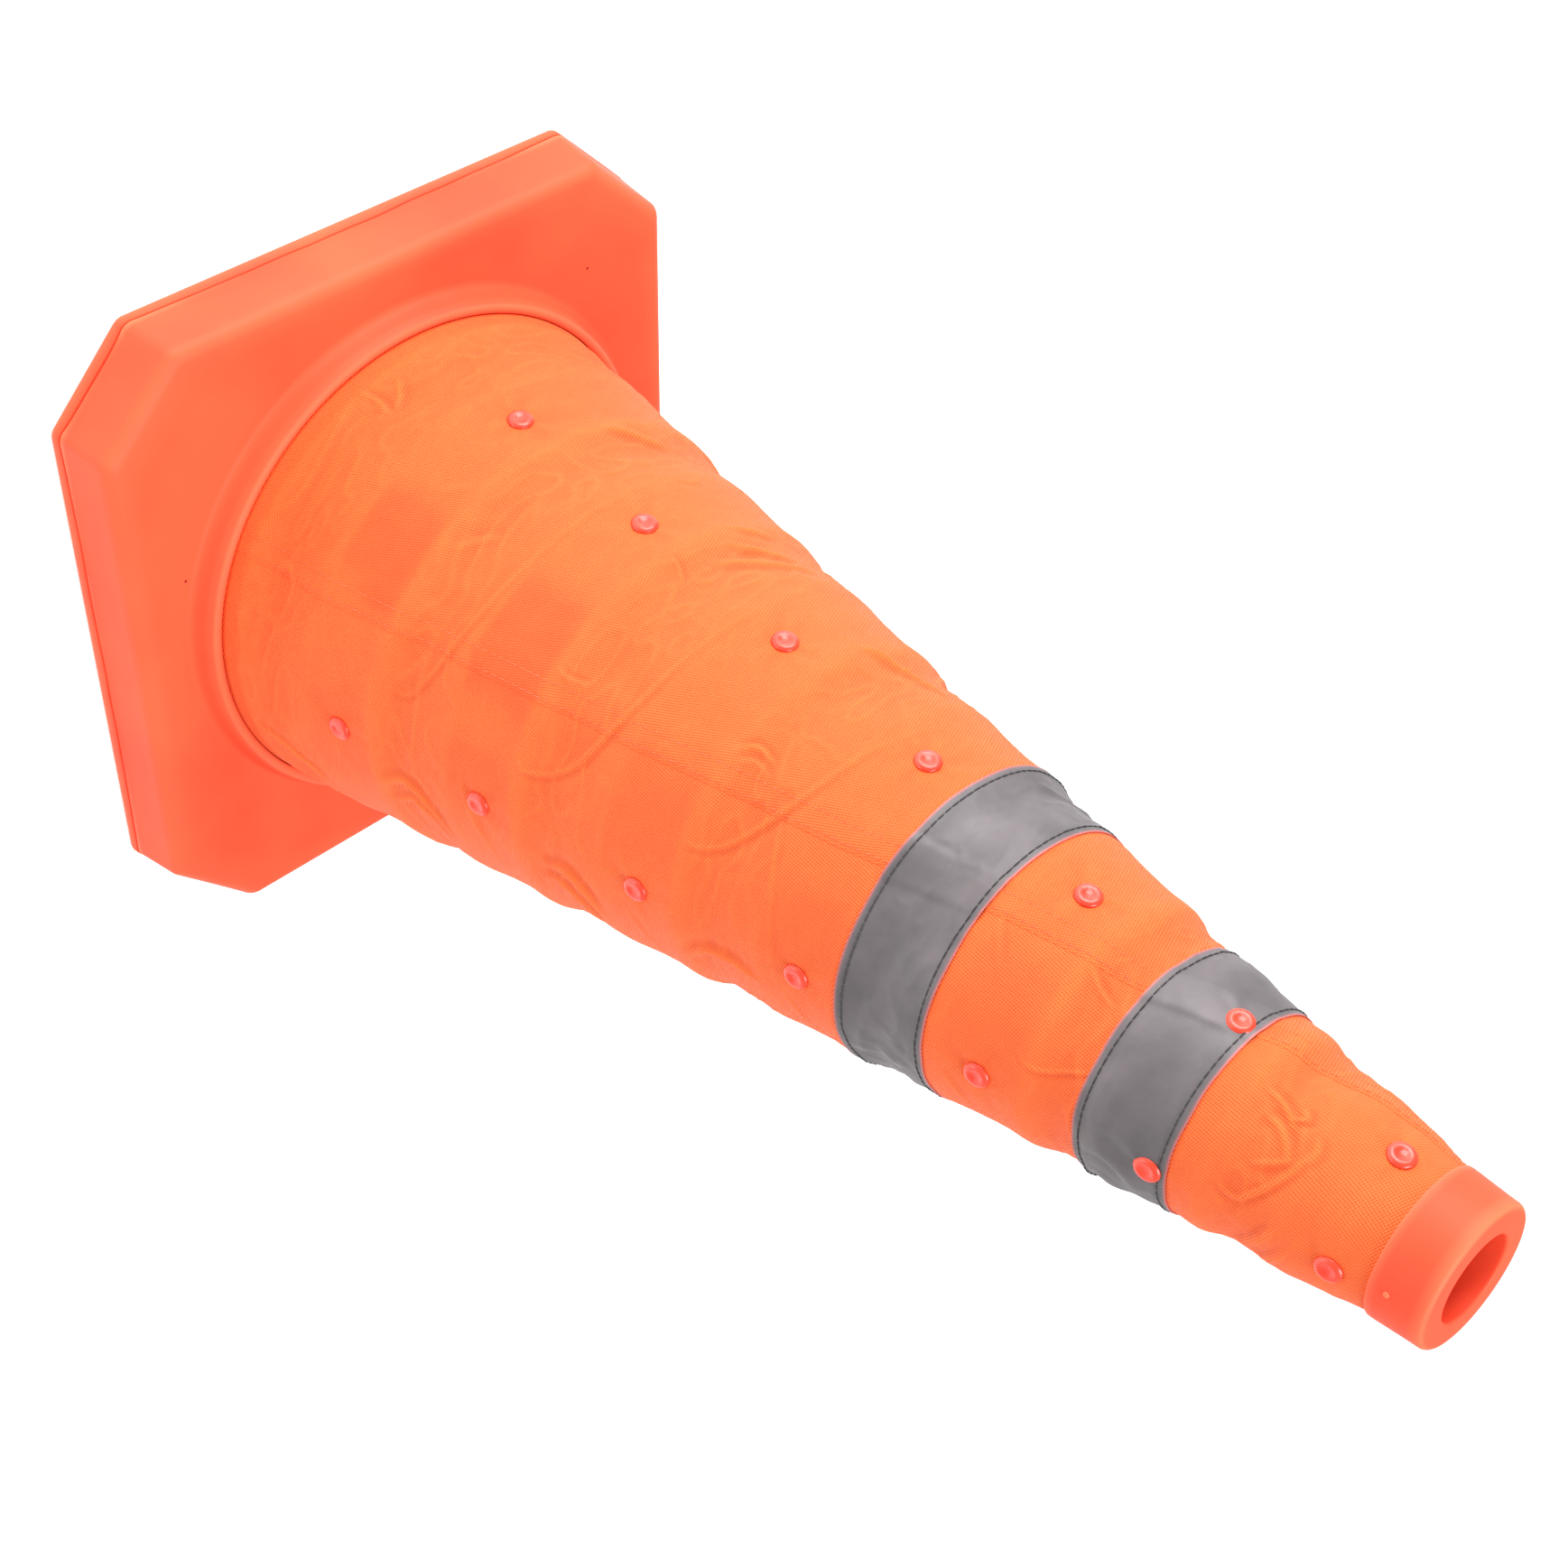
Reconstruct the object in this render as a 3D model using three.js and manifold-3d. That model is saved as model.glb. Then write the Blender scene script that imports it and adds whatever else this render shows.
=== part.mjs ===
// A collapsible traffic cone: a square plastic base in two halves, a cloth sleeve riveted to nested
// plastic hoops, two reflective bands and a ring-shaped top cap. Millimetres, +Z up, standing on its
// base with the origin at the middle of the underside, and drawn pulled up to its full height.
import * as THREE from "three";
import { ConvexGeometry } from "three/addons/geometries/ConvexGeometry.js";
import { mergeVertices } from "three/addons/utils/BufferGeometryUtils.js";
import Module from "manifold-3d";

// Driving dimensions of the base.
const BASE_SIDE = 230;
const BASE_HEIGHT = 26;
const CORNER_CUT = 28.5; // leg of each cut-off corner
const SIDE_DRAFT = 2.3; // how far each side leans in by the top face
const SHOULDER = 3.5; // bevel between the sides and the top face
const PLATE_HEIGHT = 4;
const WALL = 2.5;
const COLLAR_CREST = 34.5; // height of the bead round the sleeve
const COLLAR_FOOT = 100; // radius where the collar's flare meets the top face
const COLLAR_TUBE = 2.4; // wall of the tube below the bead
const COLLAR_TUBE_FOOT = 18;

// Driving dimensions of the sleeve, a plain cone between two levels.
const SLEEVE_LOW = { z: 34, r: 87.2 };
const SLEEVE_HIGH = { z: 440, r: 22.2 };
const SLEEVE_HEM = 18.4; // the hem is held below the collar's bead
const CLOTH = 0.6;
const TAPE = 0.35;

// Hoops, each held by one ring of rivets, and the same for the cap's skirt.
const HOOP_LEVELS = [83.7, 140.8, 201.7, 259.9, 321.1, 375.4];
const CROWN_LEVEL = 429.4;
const HOOP_HEIGHT = 25;
const HOOP_WALL = 1.6;
const RIVETS_PER_RING = 4;
const RIVET_HEAD = 4.25;
const RIVET_DOME = 2;
const RIVET_SHANK = 1.5;
const RIVET_HOLE = 1.9;
const RIVET_TAIL = 2.7;
const RIVET_TAIL_HEIGHT = 1;

// Reflective bands, from lower edge to upper edge.
const BAND_1 = [273.8, 303.3];
const BAND_2 = [351.5, 381];

// The top cap.
const CAP_TOP = 458;
const CAP_LIP = 23.7;
const CAP_RIM = 22.9;
const CAP_SHOULDER = 2.5;
const CAP_BORE = 13.8;
const CAP_BORE_WALL = 2;
const CAP_BORE_FOOT = 436;
const CAP_SKIRT_FOOT = 416.9;

// The ring that clamps the sleeve's hem inside the collar.
const CLAMP_WALL = 2;
const CLAMP_TOP = 30;
const CLAMP_FLANGE = 93;
const CLAMP_FLANGE_HEIGHT = 2.4;

// The screws that join the base's halves, one near each cut corner.
const SCREW_OFFSET = 82;
const SCREW_SHANK = 1.8;
const SCREW_HEAD = 3.6;
const SCREW_HEAD_HEIGHT = 1.6;
const SCREW_LENGTH = 13;
const SCREW_RECESS = 0.4; // the head's face above the underside
const BOSS_RADIUS = 5;

const GAP = 0.3; // left between faces that touch on the real cone
const ROUND = 32; // sides of a full circle, the same for all the nested rings
const RIVET_SIDES = 8;

const SLOPE = (SLEEVE_HIGH.r - SLEEVE_LOW.r) / (SLEEVE_HIGH.z - SLEEVE_LOW.z);
const LEAN = Math.atan(-SLOPE); // how far the sleeve's outward normal tips up
const RIVET_LEVELS = [...HOOP_LEVELS, CROWN_LEVEL];

// Radius of the sleeve's outer face at height z.
const sleeveRadius = (z) => SLEEVE_LOW.r + SLOPE * (z - SLEEVE_LOW.z);

const wasm = await Module();
wasm.setup();

// A closed three.js geometry as a solid that can be joined and cut.
function solid(geometry) {
  const bare = geometry.clone();
  bare.deleteAttribute("normal");
  bare.deleteAttribute("uv");
  const merged = mergeVertices(bare, 1e-4);
  return new wasm.Manifold(
    new wasm.Mesh({
      numProp: 3,
      vertProperties: new Float32Array(merged.attributes.position.array),
      triVerts: new Uint32Array(merged.index.array),
    }),
  );
}

// The solid's surface as a three.js geometry.
function surface(body) {
  const mesh = body.getMesh();
  const geometry = new THREE.BufferGeometry();
  geometry.setAttribute("position", new THREE.BufferAttribute(mesh.vertProperties, 3));
  geometry.setIndex(new THREE.BufferAttribute(mesh.triVerts, 1));
  geometry.computeVertexNormals();
  return geometry;
}

// Turns a closed outline of [radius, z] points about Z, with its faces pointing out.
function turned(outline, sides) {
  let area = 0;
  outline.forEach(([r, z], i) => {
    const [nextR, nextZ] = outline[(i + 1) % outline.length];
    area += r * nextZ - nextR * z;
  });
  const points = area > 0 ? outline : [...outline].reverse();
  const closed = [...points, points[0]].map(([r, z]) => new THREE.Vector2(r, z));
  return new THREE.LatheGeometry(closed, sides).rotateX(Math.PI / 2);
}

// A ring between two radii that both follow the sleeve's cone, from z = low to z = high.
function conicRing(low, high, outer, inner, sides) {
  const outline = [
    [sleeveRadius(low) - inner, low],
    [sleeveRadius(low) - outer, low],
    [sleeveRadius(high) - outer, high],
    [sleeveRadius(high) - inner, high],
  ];
  return turned(outline, sides);
}

// A square with its corners cut off, from one level to the next: the hull of [z, half, cut] levels.
function cutSquare(levels) {
  const points = [];
  for (const [z, half, cut] of levels) {
    for (const [sx, sy] of [[1, 1], [-1, 1], [-1, -1], [1, -1]]) {
      points.push(new THREE.Vector3(sx * half, sy * (half - cut), z));
      points.push(new THREE.Vector3(sx * (half - cut), sy * half, z));
    }
  }
  return new ConvexGeometry(points);
}

function cylinder(radius, low, high, x, y, sides) {
  const geometry = new THREE.CylinderGeometry(radius, radius, high - low, sides);
  return geometry.rotateX(Math.PI / 2).translate(x, y, (low + high) / 2);
}

const SCREW_PLACES = [[1, 1], [-1, 1], [-1, -1], [1, -1]].map(([sx, sy]) => [
  sx * SCREW_OFFSET,
  sy * SCREW_OFFSET,
]);

// Stands a shape made along Z on the sleeve's face, at one rivet level and one quarter turn.
function onSleeve(geometry, level, quarter) {
  const angle = (quarter * 2 * Math.PI) / RIVETS_PER_RING;
  return geometry
    .rotateY(Math.PI / 2 - LEAN)
    .translate(sleeveRadius(level), 0, level)
    .rotateZ(angle);
}

const turns = [...Array(RIVETS_PER_RING).keys()];
const rivetHoles = RIVET_LEVELS.flatMap((level) =>
  turns.map((quarter) => ({
    level,
    drill: solid(onSleeve(cylinder(RIVET_HOLE, -8, 8, 0, 0, 8), level, quarter)),
  })),
);

// Cuts the rivet holes that fall between two levels.
function drilled(body, low, high) {
  return rivetHoles
    .filter(({ level }) => level > low - RIVET_HOLE - 1 && level < high + RIVET_HOLE + 1)
    .reduce((rest, { drill }) => rest.subtract(drill), body);
}

const cone = new THREE.Group();

// Adds one named piece with its own material.
function add(name, body, colour, roughness) {
  const material = new THREE.MeshStandardMaterial({ color: colour, roughness, metalness: 0 });
  const mesh = new THREE.Mesh(surface(body), material);
  mesh.name = name;
  cone.add(mesh);
}

const CORAL = 0xff5a3c;
const ORANGE = 0xff7a2a;
const GREY = 0x8f8d92;
const STEEL = 0xb9bcc0;

// The upper half of the base: a drafted shell with the collar that the sleeve comes out of.
function baseCover() {
  const half = BASE_SIDE / 2;
  const low = PLATE_HEIGHT + GAP;
  const atHeight = (z) => half - (SIDE_DRAFT * z) / BASE_HEIGHT;
  const bevel = BASE_HEIGHT - SHOULDER;
  const levels = (inset, bottom, lift) => [
    [bottom, atHeight(low) - inset, CORNER_CUT - inset * 0.6],
    [bevel - lift, atHeight(bevel) - inset, CORNER_CUT - inset * 0.6],
    [BASE_HEIGHT - lift - 1, atHeight(BASE_HEIGHT) - inset - 1, CORNER_CUT - 1 - inset * 0.6],
    [BASE_HEIGHT - lift, atHeight(BASE_HEIGHT) - inset - SHOULDER, CORNER_CUT - 2 - inset * 0.6],
  ];
  const shell = solid(cutSquare(levels(0, low, 0)));
  const hollow = solid(cutSquare(levels(WALL, low - 1, WALL)));
  const throat = (z) => sleeveRadius(z) + GAP;
  const collar = solid(turned([
    [throat(COLLAR_TUBE_FOOT), COLLAR_TUBE_FOOT],
    [throat(COLLAR_TUBE_FOOT) + COLLAR_TUBE, COLLAR_TUBE_FOOT],
    [throat(BASE_HEIGHT - WALL) + COLLAR_TUBE, BASE_HEIGHT - WALL - 1],
    [COLLAR_FOOT, BASE_HEIGHT - WALL + 0.5],
    [COLLAR_FOOT, BASE_HEIGHT],
    [COLLAR_FOOT - 5.2, BASE_HEIGHT + 1.2],
    [COLLAR_FOOT - 8.4, BASE_HEIGHT + 3.8],
    [COLLAR_FOOT - 9.7, COLLAR_CREST - 1.6],
    [COLLAR_FOOT - 10.5, COLLAR_CREST - 0.4],
    [COLLAR_FOOT - 11.4, COLLAR_CREST],
    [throat(COLLAR_CREST - 0.8), COLLAR_CREST - 0.8],
  ], ROUND));
  const mouth = solid(turned([
    [0, COLLAR_TUBE_FOOT - 4],
    [throat(COLLAR_TUBE_FOOT - 4), COLLAR_TUBE_FOOT - 4],
    [throat(COLLAR_CREST + 2), COLLAR_CREST + 2],
    [0, COLLAR_CREST + 2],
  ], ROUND));
  const bosses = SCREW_PLACES.map(([x, y]) =>
    solid(cylinder(BOSS_RADIUS, low + 1.2, BASE_HEIGHT - 1, x, y, 16)),
  );
  const pilots = SCREW_PLACES.map(([x, y]) =>
    solid(cylinder(SCREW_SHANK + 0.1, 0, SCREW_RECESS + SCREW_LENGTH + 1, x, y, 12)),
  );
  let body = shell.subtract(hollow).add(collar);
  body = bosses.reduce((rest, boss) => rest.add(boss), body).subtract(mouth);
  return pilots.reduce((rest, pilot) => rest.subtract(pilot), body);
}

// The lower half: a flat plate with a locating rib that sits inside the cover's wall.
function basePlate() {
  const half = BASE_SIDE / 2;
  const plate = solid(cutSquare([
    [0, half - 1.2, CORNER_CUT - 0.7],
    [1.2, half, CORNER_CUT],
    [PLATE_HEIGHT, half - 0.35, CORNER_CUT],
  ]));
  const ribOuter = half - WALL - 1.2;
  const ribTop = PLATE_HEIGHT + 3;
  const rib = solid(cutSquare([
    [PLATE_HEIGHT - 1, ribOuter, CORNER_CUT - 1.4],
    [ribTop, ribOuter, CORNER_CUT - 1.4],
  ])).subtract(solid(cutSquare([
    [PLATE_HEIGHT - 2, ribOuter - 2, CORNER_CUT - 2.6],
    [ribTop + 1, ribOuter - 2, CORNER_CUT - 2.6],
  ])));
  const cuts = SCREW_PLACES.flatMap(([x, y]) => [
    solid(cylinder(SCREW_SHANK + GAP, -1, PLATE_HEIGHT + 1, x, y, 12)),
    solid(cylinder(SCREW_HEAD + GAP, -1, SCREW_RECESS + SCREW_HEAD_HEIGHT + GAP, x, y, 16)),
  ]);
  return cuts.reduce((rest, cut) => rest.subtract(cut), plate.add(rib));
}

function plateScrew([x, y]) {
  const face = SCREW_RECESS;
  const neck = face + SCREW_HEAD_HEIGHT;
  const tip = face + SCREW_LENGTH;
  const outline = [
    [0, face + 0.9],
    [1.3, face + 0.9],
    [1.3, face],
    [SCREW_HEAD - 0.4, face],
    [SCREW_HEAD, face + 0.4],
    [SCREW_HEAD, neck],
    [SCREW_SHANK - 0.2, neck],
    [SCREW_SHANK - 0.2, tip - 1.5],
    [0, tip],
  ];
  return solid(turned(outline, 12).translate(x, y, 0));
}

// The ring inside the collar that pinches the sleeve's hem against it.
function clampRing() {
  const outer = CLOTH + GAP;
  const foot = COLLAR_TUBE_FOOT - GAP - CLAMP_FLANGE_HEIGHT;
  return solid(turned([
    [sleeveRadius(foot) - outer - CLAMP_WALL, foot],
    [CLAMP_FLANGE, foot],
    [CLAMP_FLANGE, foot + CLAMP_FLANGE_HEIGHT],
    [sleeveRadius(foot + CLAMP_FLANGE_HEIGHT) - outer, foot + CLAMP_FLANGE_HEIGHT],
    [sleeveRadius(CLAMP_TOP) - outer, CLAMP_TOP],
    [sleeveRadius(CLAMP_TOP) - outer - CLAMP_WALL, CLAMP_TOP],
  ], ROUND));
}

function hoop(level) {
  const low = level - HOOP_HEIGHT / 2;
  const high = level + HOOP_HEIGHT / 2;
  const outer = CLOTH + GAP;
  const ring = conicRing(low, high, outer, outer + HOOP_WALL, ROUND);
  return drilled(solid(ring), low, high);
}

// A push rivet: a dimpled dome outside the cloth, a shank, and a flat tail inside the hoop.
function rivet(level, quarter, stack) {
  const under = stack + GAP;
  const tail = -(CLOTH + HOOP_WALL + 2 * GAP);
  const outline = [
    [0, under + RIVET_DOME - 0.7],
    [1.9, under + RIVET_DOME],
    [RIVET_HEAD, under + 0.6],
    [RIVET_HEAD, under],
    [RIVET_SHANK, under],
    [RIVET_SHANK, tail],
    [RIVET_TAIL, tail],
    [RIVET_TAIL, tail - RIVET_TAIL_HEIGHT],
    [0, tail - RIVET_TAIL_HEIGHT],
  ];
  return solid(onSleeve(turned(outline, RIVET_SIDES), level, quarter));
}

// One stretch of the sleeve, between two rings of rivets.
function sleevePanel(low, high) {
  return drilled(solid(conicRing(low, high, 0, CLOTH, ROUND)), low, high);
}

// A stretch of reflective tape laid on the sleeve.
function tape(low, high) {
  const inner = -GAP;
  return drilled(solid(conicRing(low, high, inner - TAPE, inner, ROUND)), low, high);
}

// The cap: a short outer wall with a rounded lip, a bored top and a skirt inside the sleeve.
function topCap() {
  const lip = SLEEVE_HIGH.z;
  const skirtOuter = (z) => sleeveRadius(z) - CLOTH - GAP;
  const skirtInner = (z) => skirtOuter(z) - HOOP_WALL;
  const roof = CAP_TOP - 2.4;
  const body = solid(turned([
    [CAP_BORE, CAP_BORE_FOOT],
    [CAP_BORE, CAP_TOP - 0.8],
    [CAP_BORE + 0.8, CAP_TOP],
    [CAP_RIM - CAP_SHOULDER, CAP_TOP],
    [CAP_RIM - 0.7, CAP_TOP - 0.8],
    [CAP_RIM, CAP_TOP - CAP_SHOULDER],
    [CAP_LIP, lip + 1.8],
    [CAP_LIP - 0.5, lip + 0.6],
    [CAP_LIP - 1.4, lip + GAP],
    [skirtOuter(lip), lip + GAP],
    [skirtOuter(CAP_SKIRT_FOOT), CAP_SKIRT_FOOT],
    [skirtInner(CAP_SKIRT_FOOT), CAP_SKIRT_FOOT],
    [skirtInner(lip), lip],
    [skirtInner(lip), roof],
    [CAP_BORE + CAP_BORE_WALL, roof],
    [CAP_BORE + CAP_BORE_WALL, CAP_BORE_FOOT],
  ], ROUND));
  return drilled(body, CAP_SKIRT_FOOT, lip);
}

add("base_cover", baseCover(), CORAL, 0.5);
add("base_plate", basePlate(), CORAL, 0.5);
SCREW_PLACES.forEach((place, i) => add(`plate_screw_${i + 1}`, plateScrew(place), STEEL, 0.35));
add("sleeve_clamp_ring", clampRing(), CORAL, 0.5);
HOOP_LEVELS.forEach((level, i) => add(`hoop_${i + 1}`, hoop(level), CORAL, 0.45));
add("top_cap", topCap(), CORAL, 0.45);

RIVET_LEVELS.forEach((level, i) => {
  const onTape = level > BAND_2[0] && level < BAND_2[1];
  const stack = onTape ? TAPE + GAP : 0;
  for (const quarter of turns) {
    add(`rivet_${i + 1}_${"abcd"[quarter]}`, rivet(level, quarter, stack), CORAL, 0.3);
  }
});

const seams = [SLEEVE_HEM, ...RIVET_LEVELS];
for (let i = 0; i + 1 < seams.length; i += 1) {
  const low = i === 0 ? SLEEVE_HEM : seams[i] + GAP / 2;
  const high = i + 2 === seams.length ? SLEEVE_HIGH.z : seams[i + 1] - GAP / 2;
  add(`sleeve_${i + 1}`, sleevePanel(low, high), ORANGE, 0.8);
}

const bandSplit = HOOP_LEVELS[5];
add("band_1", tape(...BAND_1), GREY, 0.45);
add("band_2_lower", tape(BAND_2[0], bandSplit - GAP / 2), GREY, 0.45);
add("band_2_upper", tape(bandSplit + GAP / 2, BAND_2[1]), GREY, 0.45);

export default cone;
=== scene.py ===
"""A pull-up traffic cone: its base, nested hoops, riveted cloth sleeve, reflective bands and cap.

Everything is in metres, +Z up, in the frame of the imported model. Sizes are written in millimetres
and turned to metres when a mesh is made.
"""

import math

import bmesh
import bpy
import numpy as np
from mathutils import Matrix, Quaternion, Vector, noise


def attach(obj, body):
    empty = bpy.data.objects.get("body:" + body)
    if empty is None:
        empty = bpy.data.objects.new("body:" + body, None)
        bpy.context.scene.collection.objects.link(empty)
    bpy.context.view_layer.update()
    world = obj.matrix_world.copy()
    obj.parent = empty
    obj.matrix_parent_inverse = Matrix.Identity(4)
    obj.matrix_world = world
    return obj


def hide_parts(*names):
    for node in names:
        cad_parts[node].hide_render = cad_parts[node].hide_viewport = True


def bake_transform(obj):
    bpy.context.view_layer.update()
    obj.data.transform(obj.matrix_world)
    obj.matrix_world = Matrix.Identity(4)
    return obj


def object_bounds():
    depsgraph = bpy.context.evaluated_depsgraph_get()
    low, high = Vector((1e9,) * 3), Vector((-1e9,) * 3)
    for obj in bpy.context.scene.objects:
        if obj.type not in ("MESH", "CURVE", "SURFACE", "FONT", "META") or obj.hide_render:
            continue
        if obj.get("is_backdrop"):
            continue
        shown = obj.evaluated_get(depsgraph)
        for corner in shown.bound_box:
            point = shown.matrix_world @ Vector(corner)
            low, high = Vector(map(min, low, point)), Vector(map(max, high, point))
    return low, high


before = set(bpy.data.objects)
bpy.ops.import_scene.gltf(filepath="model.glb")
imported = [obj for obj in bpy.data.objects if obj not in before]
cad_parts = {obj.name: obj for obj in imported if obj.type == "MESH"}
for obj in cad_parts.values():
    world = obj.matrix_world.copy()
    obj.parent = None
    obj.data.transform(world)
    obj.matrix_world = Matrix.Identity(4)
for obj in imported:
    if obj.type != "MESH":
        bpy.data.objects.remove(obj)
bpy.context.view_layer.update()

scene = bpy.context.scene


# The view: the cone stands on its base and is looked at from above the base's front corner, with
# the camera turned on its side. Orange dye keeps its hue only with the plain display transform.

EYE = Vector((0.4393, -0.5591, 0.6367))
LOOKED_AT = Vector((-0.0025, -0.0020, 0.2002))
CAMERA_TURN = math.radians(124.8)

camera_data = bpy.data.cameras.new("camera")
camera_data.lens = 62.2
camera_data.sensor_width = 36
camera = bpy.data.objects.new("camera", camera_data)
scene.collection.objects.link(camera)
camera.location = EYE
camera.rotation_mode = "QUATERNION"
camera.rotation_quaternion = (LOOKED_AT - EYE).to_track_quat("-Z", "Y") @ Quaternion(
    (0, 0, 1), CAMERA_TURN
)
scene.camera = camera
scene.view_settings.view_transform = "Standard"


def linear(code):
    """A linear colour with alpha, from an sRGB hex value."""
    parts = [int(code[i : i + 2], 16) / 255 for i in (1, 3, 5)]
    return [c / 12.92 if c <= 0.04045 else ((c + 0.055) / 1.055) ** 2.4 for c in parts] + [1]


def node(tree, kind, links=None, **settings):
    """Adds a node: settings are its properties, links its inputs as values or other sockets."""
    made = tree.nodes.new(kind)
    for name, value in settings.items():
        setattr(made, name, value)
    for name, value in (links or {}).items():
        if isinstance(value, bpy.types.NodeSocket):
            tree.links.new(value, made.inputs[name])
        else:
            made.inputs[name].default_value = value
    return made


def material(name, roughness, **sockets):
    """A new Principled material, its tree and its shader. Sockets are uniform values by name."""
    made = bpy.data.materials.new(name)
    made.use_nodes = True
    shader = made.node_tree.nodes["Principled BSDF"]
    shader.inputs["Roughness"].default_value = roughness
    for label, value in sockets.items():
        shader.inputs[label.replace("_", " ")].default_value = value
    return made, made.node_tree, shader


# The studio: a plain white light table, one broad soft light from the left of the cone's front,
# weaker ones from above and from low on the right, and white light from all round.

floor_mesh = bpy.data.meshes.new("floor")
REACH = 12
floor_mesh.from_pydata(
    [(-REACH, -REACH, 0), (REACH, -REACH, 0), (REACH, REACH, 0), (-REACH, REACH, 0)], [],
    [(0, 1, 2, 3)],
)
floor = bpy.data.objects.new("floor", floor_mesh)
scene.collection.objects.link(floor)
floor.location.z = -0.0003
paper, _, paper_shader = material("matt_white_light_table", 0.9)
paper_shader.inputs["Base Color"].default_value = linear("#f7f7f6")
paper_shader.inputs["Emission Color"].default_value = linear("#ffffff")
paper_shader.inputs["Emission Strength"].default_value = 0.48
floor_mesh.materials.append(paper)
floor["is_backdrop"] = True


def soft_light(name, place, size, power):
    data = bpy.data.lights.new(name, "AREA")
    data.size = size
    data.energy = power
    lamp = bpy.data.objects.new(name, data)
    scene.collection.objects.link(lamp)
    lamp.location = place
    toward = Vector((0, 0, 0.2)) - Vector(place)
    lamp.rotation_euler = toward.to_track_quat("-Z", "Y").to_euler()
    return lamp


soft_light("key_softbox", (-0.32, -1.1, 0.32), 0.8, 20)
soft_light("top_softbox", (0.15, 0.1, 1.7), 0.8, 26)
soft_light("low_panel", (0.55, -0.1, 0.06), 0.25, 0.7).visible_camera = False

world = bpy.data.worlds.new("studio")
scene.world = world
world.use_nodes = True
world.node_tree.nodes["Background"].inputs["Color"].default_value = (1, 1, 1, 1)
world.node_tree.nodes["Background"].inputs["Strength"].default_value = 0.54


# The base cover: the upper half of a hollow base, injection-moulded in coral polypropylene. Its
# sides lean in by their draft, its shoulder is soft, and a collar flares up to a bead round the
# cloth. The halves meet at a thin line that opens a little along the middle of each side.

MM = 0.001
BASE_HALF = 115
BASE_TOP = 26
DRAFT = 2.3
CORNER_CUT = 28.5
CORNER_ROUND = 5
COVER_FOOT = 4.15
SHOULDER_HEIGHT = 4.6
WALL = 2.5
COLLAR_FLARE = [
    (95.8, 26), (94.8, 26.12), (94.0, 26.5), (93.35, 27.3), (92.85, 28.4), (92.4, 29.7),
    (92.05, 31.0), (91.7, 32.0),
]
COLLAR_BEAD = [
    (91.25, 32.7), (90.95, 33.4), (90.4, 34.05), (89.6, 34.42), (88.7, 34.5), (88.0, 34.25),
    (87.62, 33.7),
]
CONE_FOOT = (34, 87.2)
CONE_SLOPE = (22.2 - 87.2) / (440 - 34)


def cone_radius(z):
    """Radius of the sleeve's outer face at height z, in millimetres."""
    return CONE_FOOT[1] + CONE_SLOPE * (z - CONE_FOOT[0])


def cut_square(half, cut, corner, long_steps=44, short_steps=12, arc_steps=8):
    """Points round a square with its corners cut off and rounded, and how near each is to the
    middle of its side, from 0 at a corner to 1."""
    angles = [k * math.pi / 4 for k in range(9)]
    reach = [half if k % 2 == 0 else (2 * half - cut) / math.sqrt(2) for k in range(9)]
    centres = []
    for k in range(8):
        a, b = angles[k], angles[k] + math.pi / 4
        lines = np.array([[math.cos(a), math.sin(a)], [math.cos(b), math.sin(b)]])
        centres.append(np.linalg.solve(lines, [reach[k] - corner, reach[k + 1] - corner]))
    points, middle = [], []
    for k in range(8):
        out = corner * np.array([math.cos(angles[k]), math.sin(angles[k])])
        start, end = centres[k - 1] + out, centres[k] + out
        steps = long_steps if k % 2 == 0 else short_steps
        for t in np.arange(steps) / steps:
            points.append(start + t * (end - start))
            middle.append(1 - (2 * t - 1) ** 2)
        for t in np.arange(arc_steps) / arc_steps:
            a = angles[k] + t * math.pi / 4
            points.append(centres[k] + corner * np.array([math.cos(a), math.sin(a)]))
            middle.append(0)
    return np.array(points), np.array(middle)


def ring_at(flat, z):
    """Flat points lifted to height z, a number or one for each point."""
    return np.column_stack([flat, np.broadcast_to(z, len(flat))])


def skinned(name, rings, sharp_angle=38):
    """A closed smooth mesh through rings of points in millimetres, the last joined to the first."""
    count, around = len(rings), len(rings[0])
    mesh = bpy.data.meshes.new(name)
    corners = np.arange(count * around).reshape(count, around)
    ahead = np.roll(corners, -1, axis=1)
    faces = np.stack(
        [corners, ahead, np.roll(ahead, -1, axis=0), np.roll(corners, -1, axis=0)], axis=-1
    )
    mesh.from_pydata((np.concatenate(rings) * MM).tolist(), [], faces.reshape(-1, 4).tolist())
    shape = bmesh.new()
    shape.from_mesh(mesh)
    bmesh.ops.remove_doubles(shape, verts=shape.verts, dist=1e-7)
    bmesh.ops.recalc_face_normals(shape, faces=shape.faces)
    shape.to_mesh(mesh)
    shape.free()
    mesh.shade_smooth()
    mesh.set_sharp_from_angle(angle=math.radians(sharp_angle))
    return mesh


def placed(name, mesh, finish):
    """A new object at the origin, with one material."""
    made = bpy.data.objects.new(name, mesh)
    scene.collection.objects.link(made)
    if finish is not None:
        mesh.materials.clear()
        mesh.materials.append(finish)
    return made


def side_half(z):
    return BASE_HALF - DRAFT * z / BASE_TOP


edge_flat, near_middle = cut_square(side_half(COVER_FOOT), CORNER_CUT, CORNER_ROUND)
side_ripple = np.array(
    [0.5 + 0.5 * noise.noise(Vector((x * 0.045, y * 0.045, 3.1))) for x, y in edge_flat]
)
parting_lift = near_middle**0.8 * (0.2 + 2.0 * side_ripple)


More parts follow.
